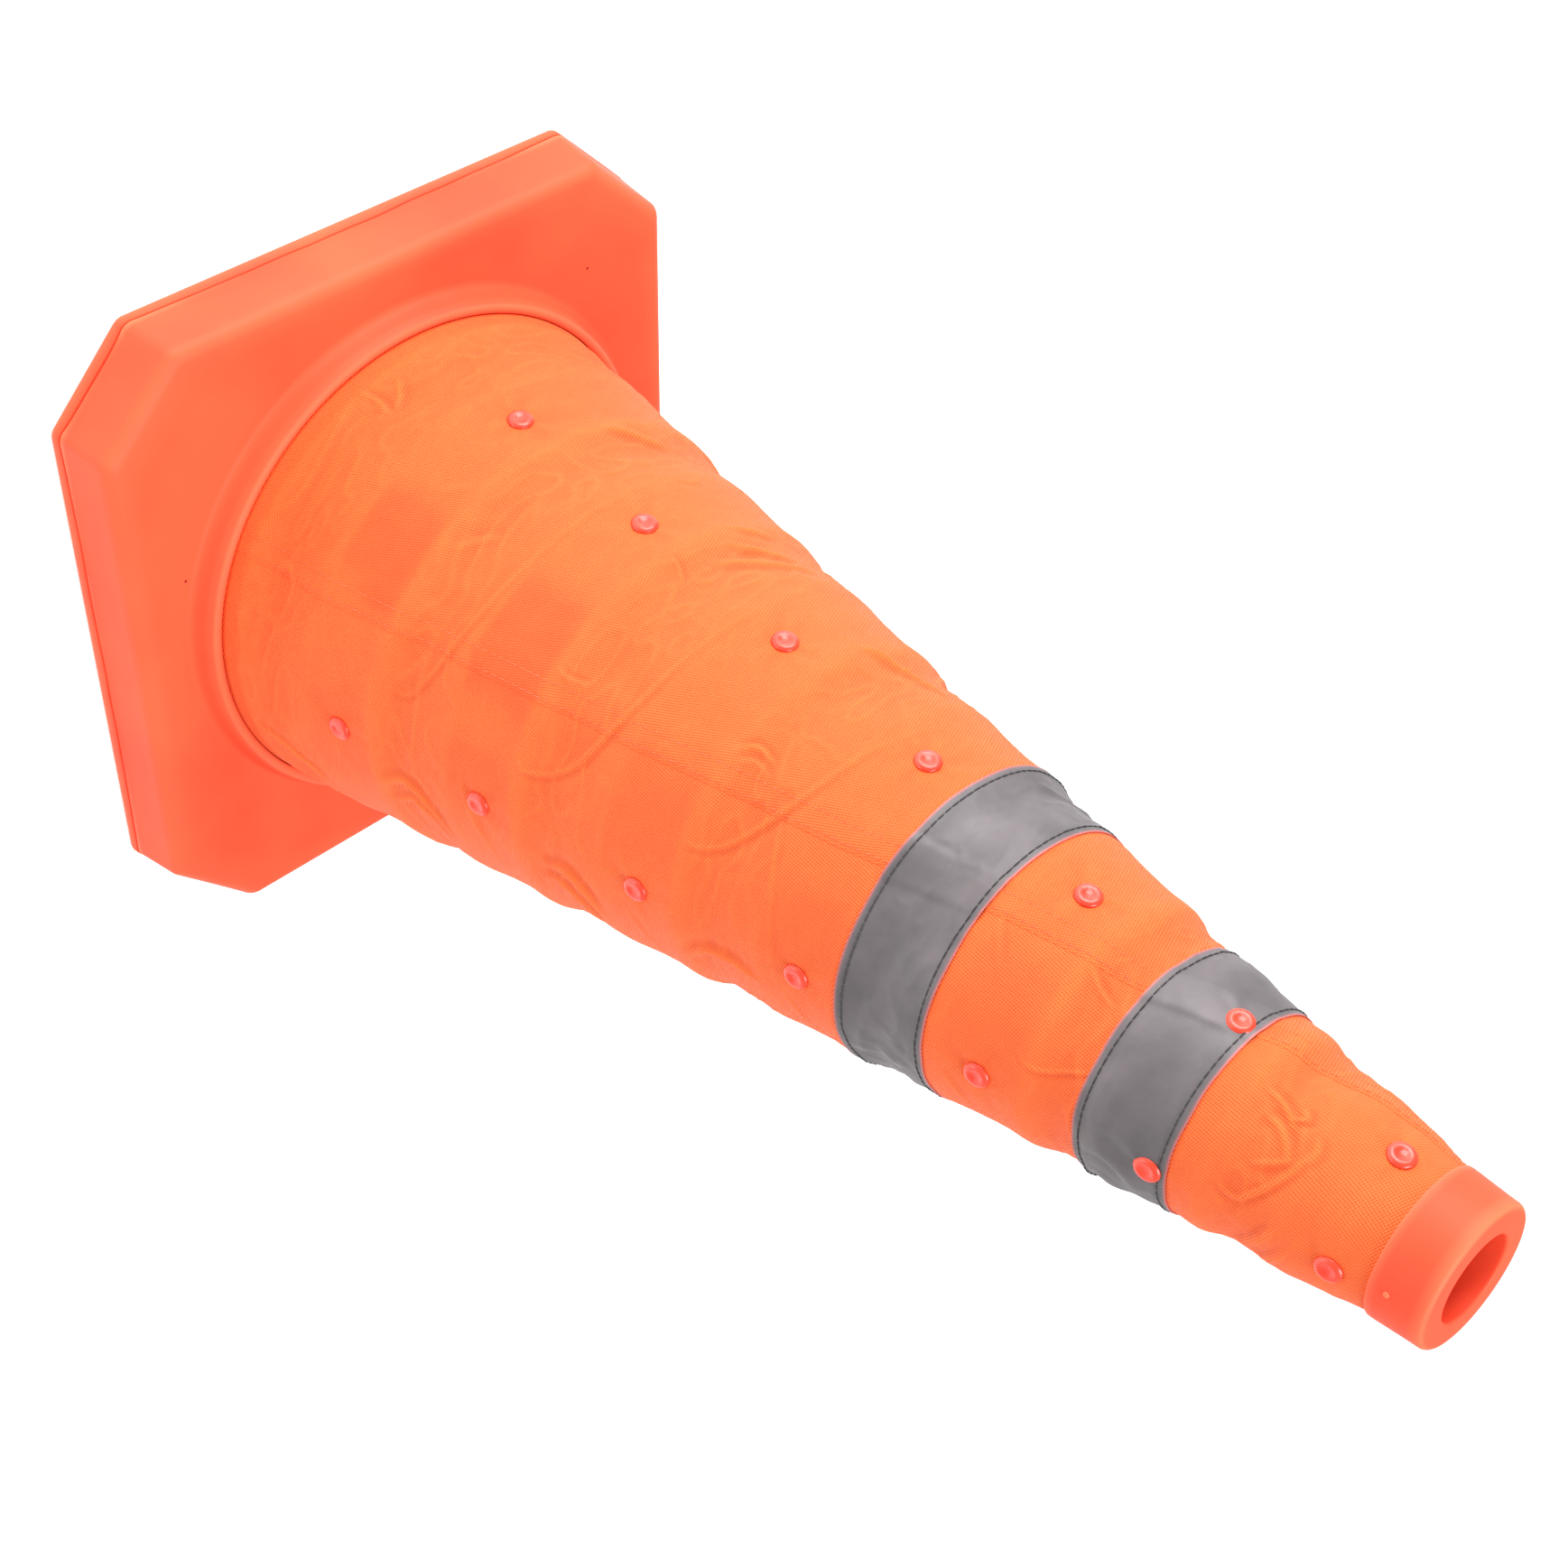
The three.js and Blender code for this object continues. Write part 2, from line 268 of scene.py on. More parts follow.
def side_ring(z, inset=0.0, cut=CORNER_CUT, corner=CORNER_ROUND):
    """The cover's outline at height z, pulled in by inset, with its sides sunk a little in the
    middle, as a moulded wall sinks when it cools."""
    flat, middle = cut_square(side_half(z) - inset, cut, corner)
    sink = 1 - 0.0022 * middle * math.sin(math.pi * min(1, max(0, (z - 4) / 20)))
    return flat * sink[:, None]


cover_rings = [
    ring_at(side_ring(COVER_FOOT, WALL), COVER_FOOT + parting_lift),
    ring_at(side_ring(COVER_FOOT, 0.6), COVER_FOOT + parting_lift),
    ring_at(side_ring(COVER_FOOT, 0.18), COVER_FOOT + 0.18 + parting_lift),
    ring_at(side_ring(COVER_FOOT), COVER_FOOT + 0.6 + parting_lift),
]
for z in (7, 10, 13, 16, 19, 21.3):
    cover_rings.append(ring_at(side_ring(z), z))
SHOULDER_STEPS = 9
shoulder_foot = BASE_TOP - SHOULDER_HEIGHT
for step in range(SHOULDER_STEPS + 1):
    turn = math.pi / 2 * step / SHOULDER_STEPS
    inset = SHOULDER_HEIGHT * (1 - math.cos(turn))
    z = shoulder_foot + SHOULDER_HEIGHT * math.sin(turn)
    cut = CORNER_CUT - 0.35 * inset
    cover_rings.append(ring_at(side_ring(z, inset, cut, CORNER_ROUND - 0.2 * inset), z))
shoulder_flat = cover_rings[-1][:, :2]
heading = shoulder_flat / np.linalg.norm(shoulder_flat, axis=1)[:, None]
for share in (0.03, 0.25, 0.5, 0.75, 0.97):
    flat = shoulder_flat + share * (heading * COLLAR_FLARE[0][0] - shoulder_flat)
    cover_rings.append(ring_at(flat, BASE_TOP))
for r, z in COLLAR_FLARE + COLLAR_BEAD:
    cover_rings.append(ring_at(heading * r, z))
for z in (30, 24, 18):
    cover_rings.append(ring_at(heading * (cone_radius(z) + 0.3), z))
for r, z in ((cone_radius(18) + 2.7, 18), (cone_radius(23) + 2.7, 22.5), (99, 23.5)):
    cover_rings.append(ring_at(heading * r, z))
cover_rings.append(ring_at(side_ring(22, WALL + 2), 23.5))
cover_rings.append(ring_at(side_ring(21, WALL), 21))

# Moulded polypropylene: even coral colour with a soft satin gloss, a very fine eggshell grain left
# by the mould, paler along the edges, partly wear and partly painted highlight, and two pinholes
# in the top face painted dark as their shade.
coral, coral_tree, coral_shader = material(
    "moulded_coral_polypropylene", 0.52, Specular_IOR_Level=0.14
)
CORAL = "#ff5938"
CORAL_PALE = "#ff7450"
CORAL_DEEP = "#fd4d31"
# Where the shade of two pinholes is painted on the top face, in millimetres, and the size of each
# dark dot.
PINHOLE_SHADE_SPOTS = [(92.0, -32.2), (-78.2, -75.9)]
PINHOLE_SHADE_RADIUS = 0.55


def moulded_look(tree, shader, even, pale, deep, pinhole_shades=()):
    """Colour drift, mould grain, edges paler as wear and painted highlight, and pinholes painted
    dark as their shade, of one moulded part.
    """
    place = node(tree, "ShaderNodeTexCoord").outputs["Object"]
    drift = node(
        tree, "ShaderNodeTexNoise", {"Vector": place, "Scale": 1 / 0.06, "Detail": 3.0}
    ).outputs["Fac"]
    spread = node(
        tree, "ShaderNodeMapRange", {"Value": drift, "From Min": 0.35, "From Max": 0.65}
    ).outputs["Result"]
    body = node(
        tree, "ShaderNodeMix", {0: spread, 6: linear(deep), 7: linear(even)}, data_type="RGBA",
    ).outputs[2]
    # Edges paler, partly wear and partly painted highlight.
    wear_and_highlight = node(tree, "ShaderNodeAttribute", attribute_name="wear_and_highlight").outputs["Fac"]
    colour = node(
        tree, "ShaderNodeMix", {0: wear_and_highlight, 6: body, 7: linear(pale)}, data_type="RGBA"
    ).outputs[2]
    # The pinholes are not modelled; their shade is painted as dark dots.
    for x, y in pinhole_shades:
        near = node(
            tree, "ShaderNodeVectorMath", {0: place, 1: (x * MM, y * MM, BASE_TOP * MM)},
            operation="DISTANCE",
        ).outputs["Value"]
        pinhole_shade = node(
            tree, "ShaderNodeMath", {0: near, 1: PINHOLE_SHADE_RADIUS * MM}, operation="LESS_THAN"
        ).outputs[0]
        colour = node(
            tree, "ShaderNodeMix", {0: pinhole_shade, 6: colour, 7: linear("#7d1f16")}, data_type="RGBA",
        ).outputs[2]
    tree.links.new(colour, shader.inputs["Base Color"])
    grain = node(
        tree, "ShaderNodeTexNoise", {"Vector": place, "Scale": 1 / 0.0012, "Detail": 2.0}
    ).outputs["Fac"]
    bump = node(
        tree, "ShaderNodeBump", {"Height": grain, "Strength": 0.25, "Distance": 0.00006}
    ).outputs["Normal"]
    tree.links.new(bump, shader.inputs["Normal"])
    gloss = node(
        tree, "ShaderNodeMapRange", {"Value": drift, "To Min": 0.48, "To Max": 0.58},
    ).outputs["Result"]
    tree.links.new(gloss, shader.inputs["Roughness"])


moulded_look(coral_tree, coral_shader, CORAL, CORAL_PALE, CORAL_DEEP, PINHOLE_SHADE_SPOTS)


def mark_wear_and_highlight(mesh, amount):
    """Keeps on each point how much paler it is, partly wear and partly painted highlight: amount is
    a function of its place in millimetres.
    """
    layer = mesh.attributes.new("wear_and_highlight", "FLOAT", "POINT")
    layer.data.foreach_set("value", [amount(v.co / MM) for v in mesh.vertices])


def cover_wear_and_highlight(place):
    """Strongest along the shoulder, the cut corners and the collar's bead, partly wear and partly
    painted highlight, and along the foot as painted light.
    """
    flat = max(abs(place.x), abs(place.y), (abs(place.x) + abs(place.y) + CORNER_CUT) / 2)
    shoulder = 0.2 * math.exp(-(((place.z - 24.6) / 2.0) ** 2)) * (flat > 106)
    bead = 0.5 * math.exp(-(((place.z - 34.2) / 0.6) ** 2))
    # Painted light: the cover's foot is paler where the parting line would show shade.
    foot = 0.8 * math.exp(-(((place.z - COVER_FOOT - 0.6) / 0.6) ** 2)) * (flat > 113)
    return max(shoulder, bead, foot)


cover_mesh = skinned("base_cover_moulding", cover_rings)
mark_wear_and_highlight(cover_mesh, cover_wear_and_highlight)
cover = placed("base_cover_moulding", cover_mesh, coral)
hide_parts("base_cover")
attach(cover, "base")


# The base plate: the lower half, a flat moulded plate with a rounded edge that shows as a strip
# below the parting line. A low rib inside the cover's wall locates it.

PLATE_TOP = 4
PLATE_OUTLINE = [
    (75, 0), (40, 0), (1.2, 0), (0.6, 0.12), (0.2, 0.5), (0, 1.2), (0.12, 3.2), (0.35, 3.75),
    (0.8, 4), (3.9, 4), (3.9, 7), (5.6, 7), (5.6, 4), (60, 4),
]
plate_rings = [ring_at(cut_square(BASE_HALF, CORNER_CUT, CORNER_ROUND)[0] * 0, 0)]
for inset, z in PLATE_OUTLINE:
    corner = max(1.0, CORNER_ROUND - inset * 0.4)
    cut = CORNER_CUT * (1 - inset / BASE_HALF)
    rise = parting_lift - 0.2 * near_middle if inset < 1 and z > 3 else 0
    plate_rings.append(ring_at(cut_square(BASE_HALF - inset, cut, corner)[0], z + rise))
plate_rings.append(plate_rings[0] + np.array([0, 0, PLATE_TOP]))

SCREW_PLACE = 82
SCREW_FACE = 0.4


def turned(name, outline, sides, sharp_angle=38):
    """A closed solid of revolution about Z. The outline starts and ends on the axis, or closes on
    itself."""
    around = np.arange(sides) * 2 * math.pi / sides
    circle = np.column_stack([np.cos(around), np.sin(around)])
    return skinned(name, [ring_at(circle * r, z) for r, z in outline], sharp_angle)


def bored(target, cutters):
    """Cuts each cutter's mesh out of the target object, and gives the result as a mesh."""
    for cutter in cutters:
        cut = target.modifiers.new("bore", "BOOLEAN")
        cut.operation, cut.solver, cut.object = "DIFFERENCE", "EXACT", cutter
    shown = target.evaluated_get(bpy.context.evaluated_depsgraph_get())
    mesh = bpy.data.meshes.new_from_object(shown)
    target.modifiers.clear()
    for cutter in cutters:
        bpy.data.objects.remove(cutter)
    return mesh


plate = placed("base_plate_moulding", skinned("plate_blank", plate_rings), coral)
bores = []
for x, y in ((1, 1), (-1, 1), (-1, -1), (1, -1)):
    bore_mesh = turned("bore", [(0, -1), (3.9, -1), (3.9, 2.3), (2.1, 2.3), (2.1, 5), (0, 5)], 32)
    bore_mesh.transform(Matrix.Translation((x * SCREW_PLACE * MM, y * SCREW_PLACE * MM, 0)))
    bores.append(placed("bore", bore_mesh, None))
plate.data = bored(plate, bores)
plate.data.name = "base_plate_moulding"
plate.data.set_sharp_from_angle(angle=math.radians(38))
# The plate is paler round its lower rounded edge, partly wear and partly painted highlight.
mark_wear_and_highlight(plate.data, lambda place: 0.4 * math.exp(-(((place.z - 1.0) / 0.8) ** 2)))
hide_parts("base_plate")
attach(plate, "base")


# The plate's screws: four zinc-plated self-tapping pan heads with a cross recess, one near each
# cut corner, driven from below into the cover's bosses.

screw_outline = [(0, 0), (1.4, 0), (2.8, 0.12), (3.4, 0.4), (3.6, 0.9), (3.6, 1.6), (1.6, 1.6)]
THREAD_PITCH = 1.6
for turn_up in range(6):
    z = 2.6 + turn_up * THREAD_PITCH
    screw_outline += [(1.35, z), (1.8, z + 0.45), (1.35, z + 0.9)]
screw_outline.append((0, 13))
screw_mesh = turned("screw_blank", screw_outline, 24)
screw_blank = placed("screw_blank", screw_mesh, None)
slots = []
for long_way, short_way in ((2.0, 0.42), (0.42, 2.0)):
    slot_mesh = bpy.data.meshes.new("recess")
    slot_shape = bmesh.new()
    bmesh.ops.create_cube(slot_shape, size=2)
    slot_shape.transform(Matrix.Diagonal((long_way * MM, short_way * MM, 1.0 * MM, 1)))
    slot_shape.to_mesh(slot_mesh)
    slot_shape.free()
    slots.append(placed("recess", slot_mesh, None))
screw_pattern_mesh = bored(screw_blank, slots)
screw_pattern_mesh.set_sharp_from_angle(angle=math.radians(30))
screw_blank.data = screw_pattern_mesh

# Zinc plate: a bright blue-white metal with a faint brushed cloudiness.
zinc, zinc_tree, zinc_shader = material("zinc_plated_steel", 0.35, Metallic=1.0)
zinc_place = node(zinc_tree, "ShaderNodeTexCoord").outputs["Object"]
zinc_cloud = node(
    zinc_tree, "ShaderNodeTexNoise", {"Vector": zinc_place, "Scale": 1 / 0.0015, "Detail": 3.0}
).outputs["Fac"]
zinc_tone = node(
    zinc_tree, "ShaderNodeMix", {0: zinc_cloud, 6: linear("#a9adb2"), 7: linear("#c9ccd0")},
    data_type="RGBA",
).outputs[2]
zinc_tree.links.new(zinc_tone, zinc_shader.inputs["Base Color"])


def new_tree(name, inputs):
    """An empty geometry tree with named inputs, given as (name, socket type) pairs."""
    tree = bpy.data.node_groups.new(name, "GeometryNodeTree")
    tree.interface.new_socket("Geometry", in_out="INPUT", socket_type="NodeSocketGeometry")
    tree.interface.new_socket("Geometry", in_out="OUTPUT", socket_type="NodeSocketGeometry")
    for label, kind in inputs:
        tree.interface.new_socket(label, in_out="INPUT", socket_type=kind)
    return tree, node(tree, "NodeGroupInput").outputs


def finish_tree(tree, instances, finish):
    """Ends a tree: the instances made real, with their material."""
    real = node(tree, "GeometryNodeRealizeInstances", {"Geometry": instances}).outputs[0]
    dressed = node(tree, "GeometryNodeSetMaterial", {"Geometry": real, "Material": finish})
    node(tree, "NodeGroupOutput", {"Geometry": dressed.outputs[0]})


def grown(name, tree, settings, seed_mesh=None):
    """Runs a tree with its inputs set by name and keeps the result as a plain object."""
    holder = placed(name + "_holder", seed_mesh or bpy.data.meshes.new(name + "_holder"), None)
    run = holder.modifiers.new("repeat", "NODES")
    run.node_group = tree
    for socket in tree.interface.items_tree:
        if socket.in_out == "INPUT" and socket.name in settings:
            run[socket.identifier] = settings[socket.name]
    shown = holder.evaluated_get(bpy.context.evaluated_depsgraph_get())
    mesh = bpy.data.meshes.new_from_object(shown)
    holder.modifiers.clear()
    bpy.data.objects.remove(holder)
    mesh.name = name
    return placed(name, mesh, None)


screw_tree, screw_in = new_tree(
    "screws_at_corners",
    [
        ("Pattern", "NodeSocketObject"), ("Corner radius", "NodeSocketFloat"),
        ("Face height", "NodeSocketFloat"),
    ],
)
corner_points = node(
    screw_tree, "GeometryNodeMeshCircle", {"Vertices": 4, "Radius": screw_in["Corner radius"]}
).outputs["Mesh"]
corner_lift = node(screw_tree, "ShaderNodeCombineXYZ", {"Z": screw_in["Face height"]}).outputs[0]
screw_pattern = node(
    screw_tree, "GeometryNodeObjectInfo", {"Object": screw_in["Pattern"]}
).outputs["Geometry"]
corner_set = node(
    screw_tree, "GeometryNodeTransform",
    {"Geometry": corner_points, "Translation": corner_lift, "Rotation": (0, 0, math.radians(45))},
).outputs[0]
screw_set = node(
    screw_tree, "GeometryNodeInstanceOnPoints", {"Points": corner_set, "Instance": screw_pattern}
).outputs[0]
finish_tree(screw_tree, screw_set, zinc)
screws = grown(
    "plate_screws", screw_tree,
    {
        "Pattern": screw_blank, "Corner radius": SCREW_PLACE * math.sqrt(2) * MM,
        "Face height": SCREW_FACE * MM,
    },
)
bpy.data.objects.remove(screw_blank)
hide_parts("plate_screw_1", "plate_screw_2", "plate_screw_3", "plate_screw_4")
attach(screws, "base")


# The clamp ring: a flanged plastic ring pressed up inside the collar, which pinches the sleeve's
# hem against the collar's tube.

RING_SIDES = 128
clamp_outline = [
    (cone_radius(15.3) - 2.9, 15.6), (cone_radius(15.3) - 2.6, 15.3), (92.7, 15.3), (93.0, 15.6),
    (93.0, 17.4), (92.7, 17.7), (cone_radius(17.7) - 0.7, 17.7), (cone_radius(29.6) - 0.9, 29.6),
    (cone_radius(30) - 1.3, 30), (cone_radius(30) - 2.5, 30), (cone_radius(29.6) - 2.9, 29.6),
]
clamp = placed("hem_clamp_ring", turned("hem_clamp_ring", clamp_outline, RING_SIDES), coral)
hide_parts("sleeve_clamp_ring")
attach(clamp, "base")


# The hoops: six loose rings of coral polypropylene strip, each one a size smaller than the one
# below, which hold the cloth round and nest in each other when the cone is pushed flat.

HOOP_LEVELS = [83.7, 140.8, 201.7, 259.9, 321.1, 375.4]
CROWN_LEVEL = 429.4
HOOP_HALF = 12.5
CLOTH = 0.4
hoop_coral, hoop_tree, hoop_shader = material("extruded_coral_strip", 0.5)
moulded_look(hoop_tree, hoop_shader, "#f2613c", "#ff8560", "#e6532f")
for number, level in enumerate(HOOP_LEVELS, 1):
    low, high = level - HOOP_HALF, level + HOOP_HALF
    hoop_outline = []
    for z, depth in (
        (low, 1.3), (low + 0.4, 0.9), (high - 0.4, 0.9), (high, 1.3), (high, 2.1),
        (high - 0.4, 2.5), (low + 0.4, 2.5), (low, 2.1),
    ):
        hoop_outline.append((cone_radius(z) - depth, z))
    hoop_name = f"hoop_strip_{number}"
    hoop = placed(hoop_name, turned(hoop_name, hoop_outline, RING_SIDES), hoop_coral)
    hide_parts(f"hoop_{number}")
    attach(hoop, f"hoop_{number}")


# The sleeve: one cut of PVC-coated oxford cloth, rolled to a cone and closed by a sewn lap seam
# that winds a little round the cone. It is tight on the hoops and slack between them, where it
# draws in, crumples and keeps hooked creases from being folded. It is made in seven stretches,
# split at the rivets.

SLEEVE_FOOT = 18.4
SLEEVE_TOP = 440
CLEAR_OF_COLLAR = 36.5
CAP_SKIRT_FOOT = 416.9
ROW_STEP = 0.85
COLUMNS = 560
LAP = 9.0
LAP_LIFT = 0.42
SEAM_TRACK = [(0, -33), (70, -35), (150, -43), (190, -47.5), (250, -57), (270, -61)]
SEAM_TRACK += [(305, -72), (350, -85), (385, -108), (440, -150)]
RIVET_LEVELS = HOOP_LEVELS + [CROWN_LEVEL]
RIVET_TURNS = [k * math.pi / 2 for k in range(4)]
LEAN = math.atan(-CONE_SLOPE)
APEX = CONE_FOOT[0] - CONE_FOOT[1] / CONE_SLOPE

# Each slack stretch is from one hoop's upper rim to the next one's lower rim.
slack_lows = [CLEAR_OF_COLLAR] + [level + HOOP_HALF for level in HOOP_LEVELS]
slack_highs = [level - HOOP_HALF for level in HOOP_LEVELS] + [CAP_SKIRT_FOOT]


def seam_turn(z):
    """The seam's direction at height z, in radians."""
    heights, turns = zip(*SEAM_TRACK)
    fine = np.interp(z, heights, turns)
    coarse = np.interp(np.asarray(z) + 12, heights, turns) + np.interp(
        np.asarray(z) - 12, heights, turns
    )
    return np.radians(0.5 * fine + 0.25 * coarse)


def slackness(z):
    """How slack the cloth is at a height: 0 on a hoop, 1 halfway between two."""
    slack = np.zeros_like(z)
    for low, high in zip(slack_lows, slack_highs):
        inside = (z > low) & (z < high)
        slack[inside] = np.sin(math.pi * (z[inside] - low) / (high - low))
    return slack


# The sleeve's profile over one hoop and the slack above it: (share of the way, lift in mm). The
# hoop's rims push it out; above the upper rim it drops in quickly and comes back slowly.
WAIST = [(0, 0.7), (0.12, 0.4), (0.26, -0.9), (0.4, -1.5), (0.6, -0.8), (0.85, 0.2), (1, 0.5)]
ON_HOOP = 0.2
UPPER_RIM_PUSH = 0.75
LOWER_RIM_PUSH = 0.35


def profile(z):
    """The lift of the cloth that every direction shares, in millimetres."""
    shares, lifts = zip(*WAIST)
    lift = np.full_like(z, ON_HOOP)
    for low, high in zip(slack_lows, slack_highs):
        inside = (z >= low) & (z <= high)
        lift[inside] = np.interp((z[inside] - low) / (high - low), shares, lifts)
        for rim, push in ((low, UPPER_RIM_PUSH), (high, LOWER_RIM_PUSH)):
            if rim > CLEAR_OF_COLLAR:
                lift += push * np.exp(-(((z - rim) / 4.5) ** 2))
    return lift + 1.0 * np.clip((z - 385) / 18, 0, 1)


smooth_heights = np.arange(0, 460, 0.5)
smooth_profile = profile(smooth_heights)
for _ in range(30):
    smooth_profile[1:-1] = (
        0.5 * smooth_profile[1:-1] + 0.25 * smooth_profile[:-2] + 0.25 * smooth_profile[2:]
    )


def arc_gap(turn, about):
    """The signed angle from one direction to another, within half a turn."""
    return (turn - about + math.pi) % (2 * math.pi) - math.pi


# Creases that the cloth keeps from being folded: (height, width, places as (z, degrees)). The
# long ones leave the rim of the hoop above and hook back just over the hoop below. The far
# side's are drawn at random from a fixed seed.
creases = [
    (
        0.55, 0.8,
        [(188, -92), (186, -70), (183, -50), (176, -29), (166, -19), (156, -17), (155, -21)],
    ),
    (
        0.58, 0.8,
        [(252, -105), (247, -80), (242, -55), (235, -40), (228, -29), (220, -24), (215, -25)],
    ),
    (0.45, 0.72, [(238, -50), (243, -36), (247, -24), (250, -8), (253, 10)]),
    (0.58, 0.72, [(352, -29), (346, -24), (340, -19), (334, -18), (332, -22)]),
    (0.71, 0.8, [(413, -60), (411, -42), (406, -24), (401, -12), (397, -12), (395, -17)]),
    (0.45, 0.72, [(128, -95), (127, -70), (124, -48), (117, -28), (109, -17), (103, -18)]),
    (0.65, 0.85, [(127, -120), (131, -114), (128, -109)]),
    (0.65, 0.94, [(160, -122), (156, -113), (153, -107)]),
    (0.79, 1.2, [(172, -122), (165, -112), (160, -104)]),
    (0.79, 1.3, [(178, -125), (173, -113), (168, -103), (163, -94)]),
    (1, 1.4, [(240, -126), (229, -119), (219, -113), (213, -106)]),
    (0.79, 1.2, [(108, -122), (102, -113), (98, -104)]),
    (0.58, 0.58, [(155, -46), (160, -45), (166, -47)]),
    (0.58, 0.58, [(156, -87), (160, -87), (165, -84)]),
    (0.65, 0.65, [(216, -55), (221, -60), (228, -58)]),
    (0.58, 0.65, [(218, -52), (223, -56), (229, -54)]),
    (0.79, 0.85, [(39, -70), (46, -72), (54, -71)]), (0.58, 1, [(44, -79), (50, -76), (53, -72)]),
    (0.65, 1.6, [(84, -63), (89, -66), (94, -70)]),
    (0.52, 1.4, [(103, -55), (107, -60), (112, -64)]),
    (0.94, 0.8, [(393, -71), (399, -70), (403, -65), (405, -61)]),
    (0.79, 0.72, [(404, -74), (407, -70), (403, -66)]),
    (0.94, 0.94, [(397, -60), (402, -59), (406, -53), (409, -45)]),
    (0.65, 0.94, [(409, -47), (405, -40), (400, -34)]),
    (0.65, 0.85, [(411, -66), (414, -58), (413, -50)]),
    (0.52, 0.72, [(307, -64), (312, -53), (316, -45)]),
    (0.58, 0.72, [(336, -67), (342, -61), (348, -58)]),
    (1.2, 1.6, [(99, 12), (106, 8), (113, 10), (119, 15), (124, 24)]),
    (1, 1.4, [(102, 18), (109, 14), (116, 18), (120, 27)]),
    (0.65, 1.2, [(133, -9), (136, 2), (139, 12), (145, 26)]),
    (1.2, 1.6, [(166, 12), (173, 8), (181, 12), (185, 24)]),
    (1, 1.4, [(163, 18), (170, 15), (177, 20), (180, 30)]),
    (0.65, 1.1, [(196, 8), (199, 17), (204, 28)]),
    (1.2, 1.6, [(218, 20), (226, 12), (236, 11), (247, 13)]),
    (0.65, 1.1, [(254, 10), (257, 18), (262, 28)]), (0.65, 1, [(309, 6), (313, 16), (318, 28)]),
    (0.94, 1.4, [(42, 14), (52, 18), (60, 22), (67, 29)]),
    (0.79, 1.1, [(402, 30), (407, 15), (411, 2), (414, -10)]),
    (0.79, 1, [(409, 32), (414, 18), (418, 4), (420, -8)]),
]
rng = np.random.default_rng(20)
CREASES_PER_STRETCH = 8
FAR_SIDE = (48, 180)  # where they start and how far round they go, in degrees
for low, high in zip(slack_lows, slack_highs):
    for place in range(CREASES_PER_STRETCH):
        at = FAR_SIDE[0] + (place + rng.uniform(0, 1)) * FAR_SIDE[1] / CREASES_PER_STRETCH
        span = rng.uniform(14, 42)
        rise = rng.uniform(0.1, 0.4) * (high - low) * rng.choice([-1, 1])
        middle = rng.uniform(low + 5, high - 5)
        hook = 0.12 * (high - low) * rng.choice([-1, 1])
        creases.append(
            (
                rng.uniform(0.35, 0.8), rng.uniform(0.9, 1.7),
                [
                    (middle - 0.5 * rise, at - 0.5 * span),
                    (middle - 0.3 * rise + hook, at - 0.15 * span),
                    (middle + 0.15 * rise, at + 0.25 * span),
                    (middle + 0.5 * rise, at + 0.45 * span),
                ],
            )
        )


def smoothed_path(places):
    """A crease's places as a smooth line of (millimetres round, millimetres up) points, measured
    from its middle place, with that place's direction and height."""
    z, turn = np.array(places, float).T
    knots = np.arange(len(places))
    fine = np.linspace(0, len(places) - 1, 10 * (len(places) - 1) + 1)
    z_fine, turn_fine = np.interp(fine, knots, z), np.interp(fine, knots, turn)
    for _ in range(14):
        z_fine[1:-1] = (z_fine[:-2] + z_fine[1:-1] + z_fine[2:]) / 3
        turn_fine[1:-1] = (turn_fine[:-2] + turn_fine[1:-1] + turn_fine[2:]) / 3
    middle_turn, middle_z = math.radians(turn.mean()), z.mean()
    across = (np.radians(turn_fine) - middle_turn) * cone_radius(z_fine)
    return np.column_stack([across, z_fine - middle_z]), middle_turn, middle_z


crease_paths = [(height, width, *smoothed_path(places)) for height, width, places in creases]


def add_creases(lift, turn, z):
    """Adds each crease as a curved ridge with a hollow beside it, fading at both ends."""
    for height, width, path, middle_turn, middle_z in crease_paths:
        x = arc_gap(turn, middle_turn) * cone_radius(z)
        y = z - middle_z
        lowest, highest = path.min(axis=0) - 5 * width, path.max(axis=0) + 5 * width
        near = (x > lowest[0]) & (x < highest[0]) & (y > lowest[1]) & (y < highest[1])
        if not near.any():
            continue
        px, py = x[near], y[near]
        best = np.full(px.shape, 1e9)
        signed, along = np.zeros(px.shape), np.zeros(px.shape)
        for k, ((ax, ay), (bx, by)) in enumerate(zip(path[:-1], path[1:])):
            dx, dy = bx - ax, by - ay
            t = np.clip(((px - ax) * dx + (py - ay) * dy) / (dx * dx + dy * dy), 0, 1)
            ox, oy = px - ax - t * dx, py - ay - t * dy
            gap = np.hypot(ox, oy)
            closer = gap < best
            best[closer] = gap[closer]
            signed[closer] = (gap * np.sign(dx * oy - dy * ox))[closer]
            along[closer] = ((k + t) / (len(path) - 1))[closer]
        fade = np.sin(math.pi * np.clip(along, 0, 1)) ** 0.6
        ridge = np.exp(-((best / width) ** 2))
        hollow = np.exp(-(((signed - 2.2 * width) / (1.6 * width)) ** 2))
        lift[near] += height * fade * (ridge - 0.6 * hollow)


def sampled(turn, z, size, seed, flatten=1.0):
    """Smooth noise on the cone, with lumps of about that size in millimetres."""
    radius = cone_radius(z)
    spots = np.column_stack(
        [
            (np.cos(turn) * radius / size).ravel(), (np.sin(turn) * radius / size).ravel(),
            (z / size * flatten + seed).ravel(),
        ]
    )
    return np.array([noise.noise(Vector(spot)) for spot in spots]).reshape(z.shape)


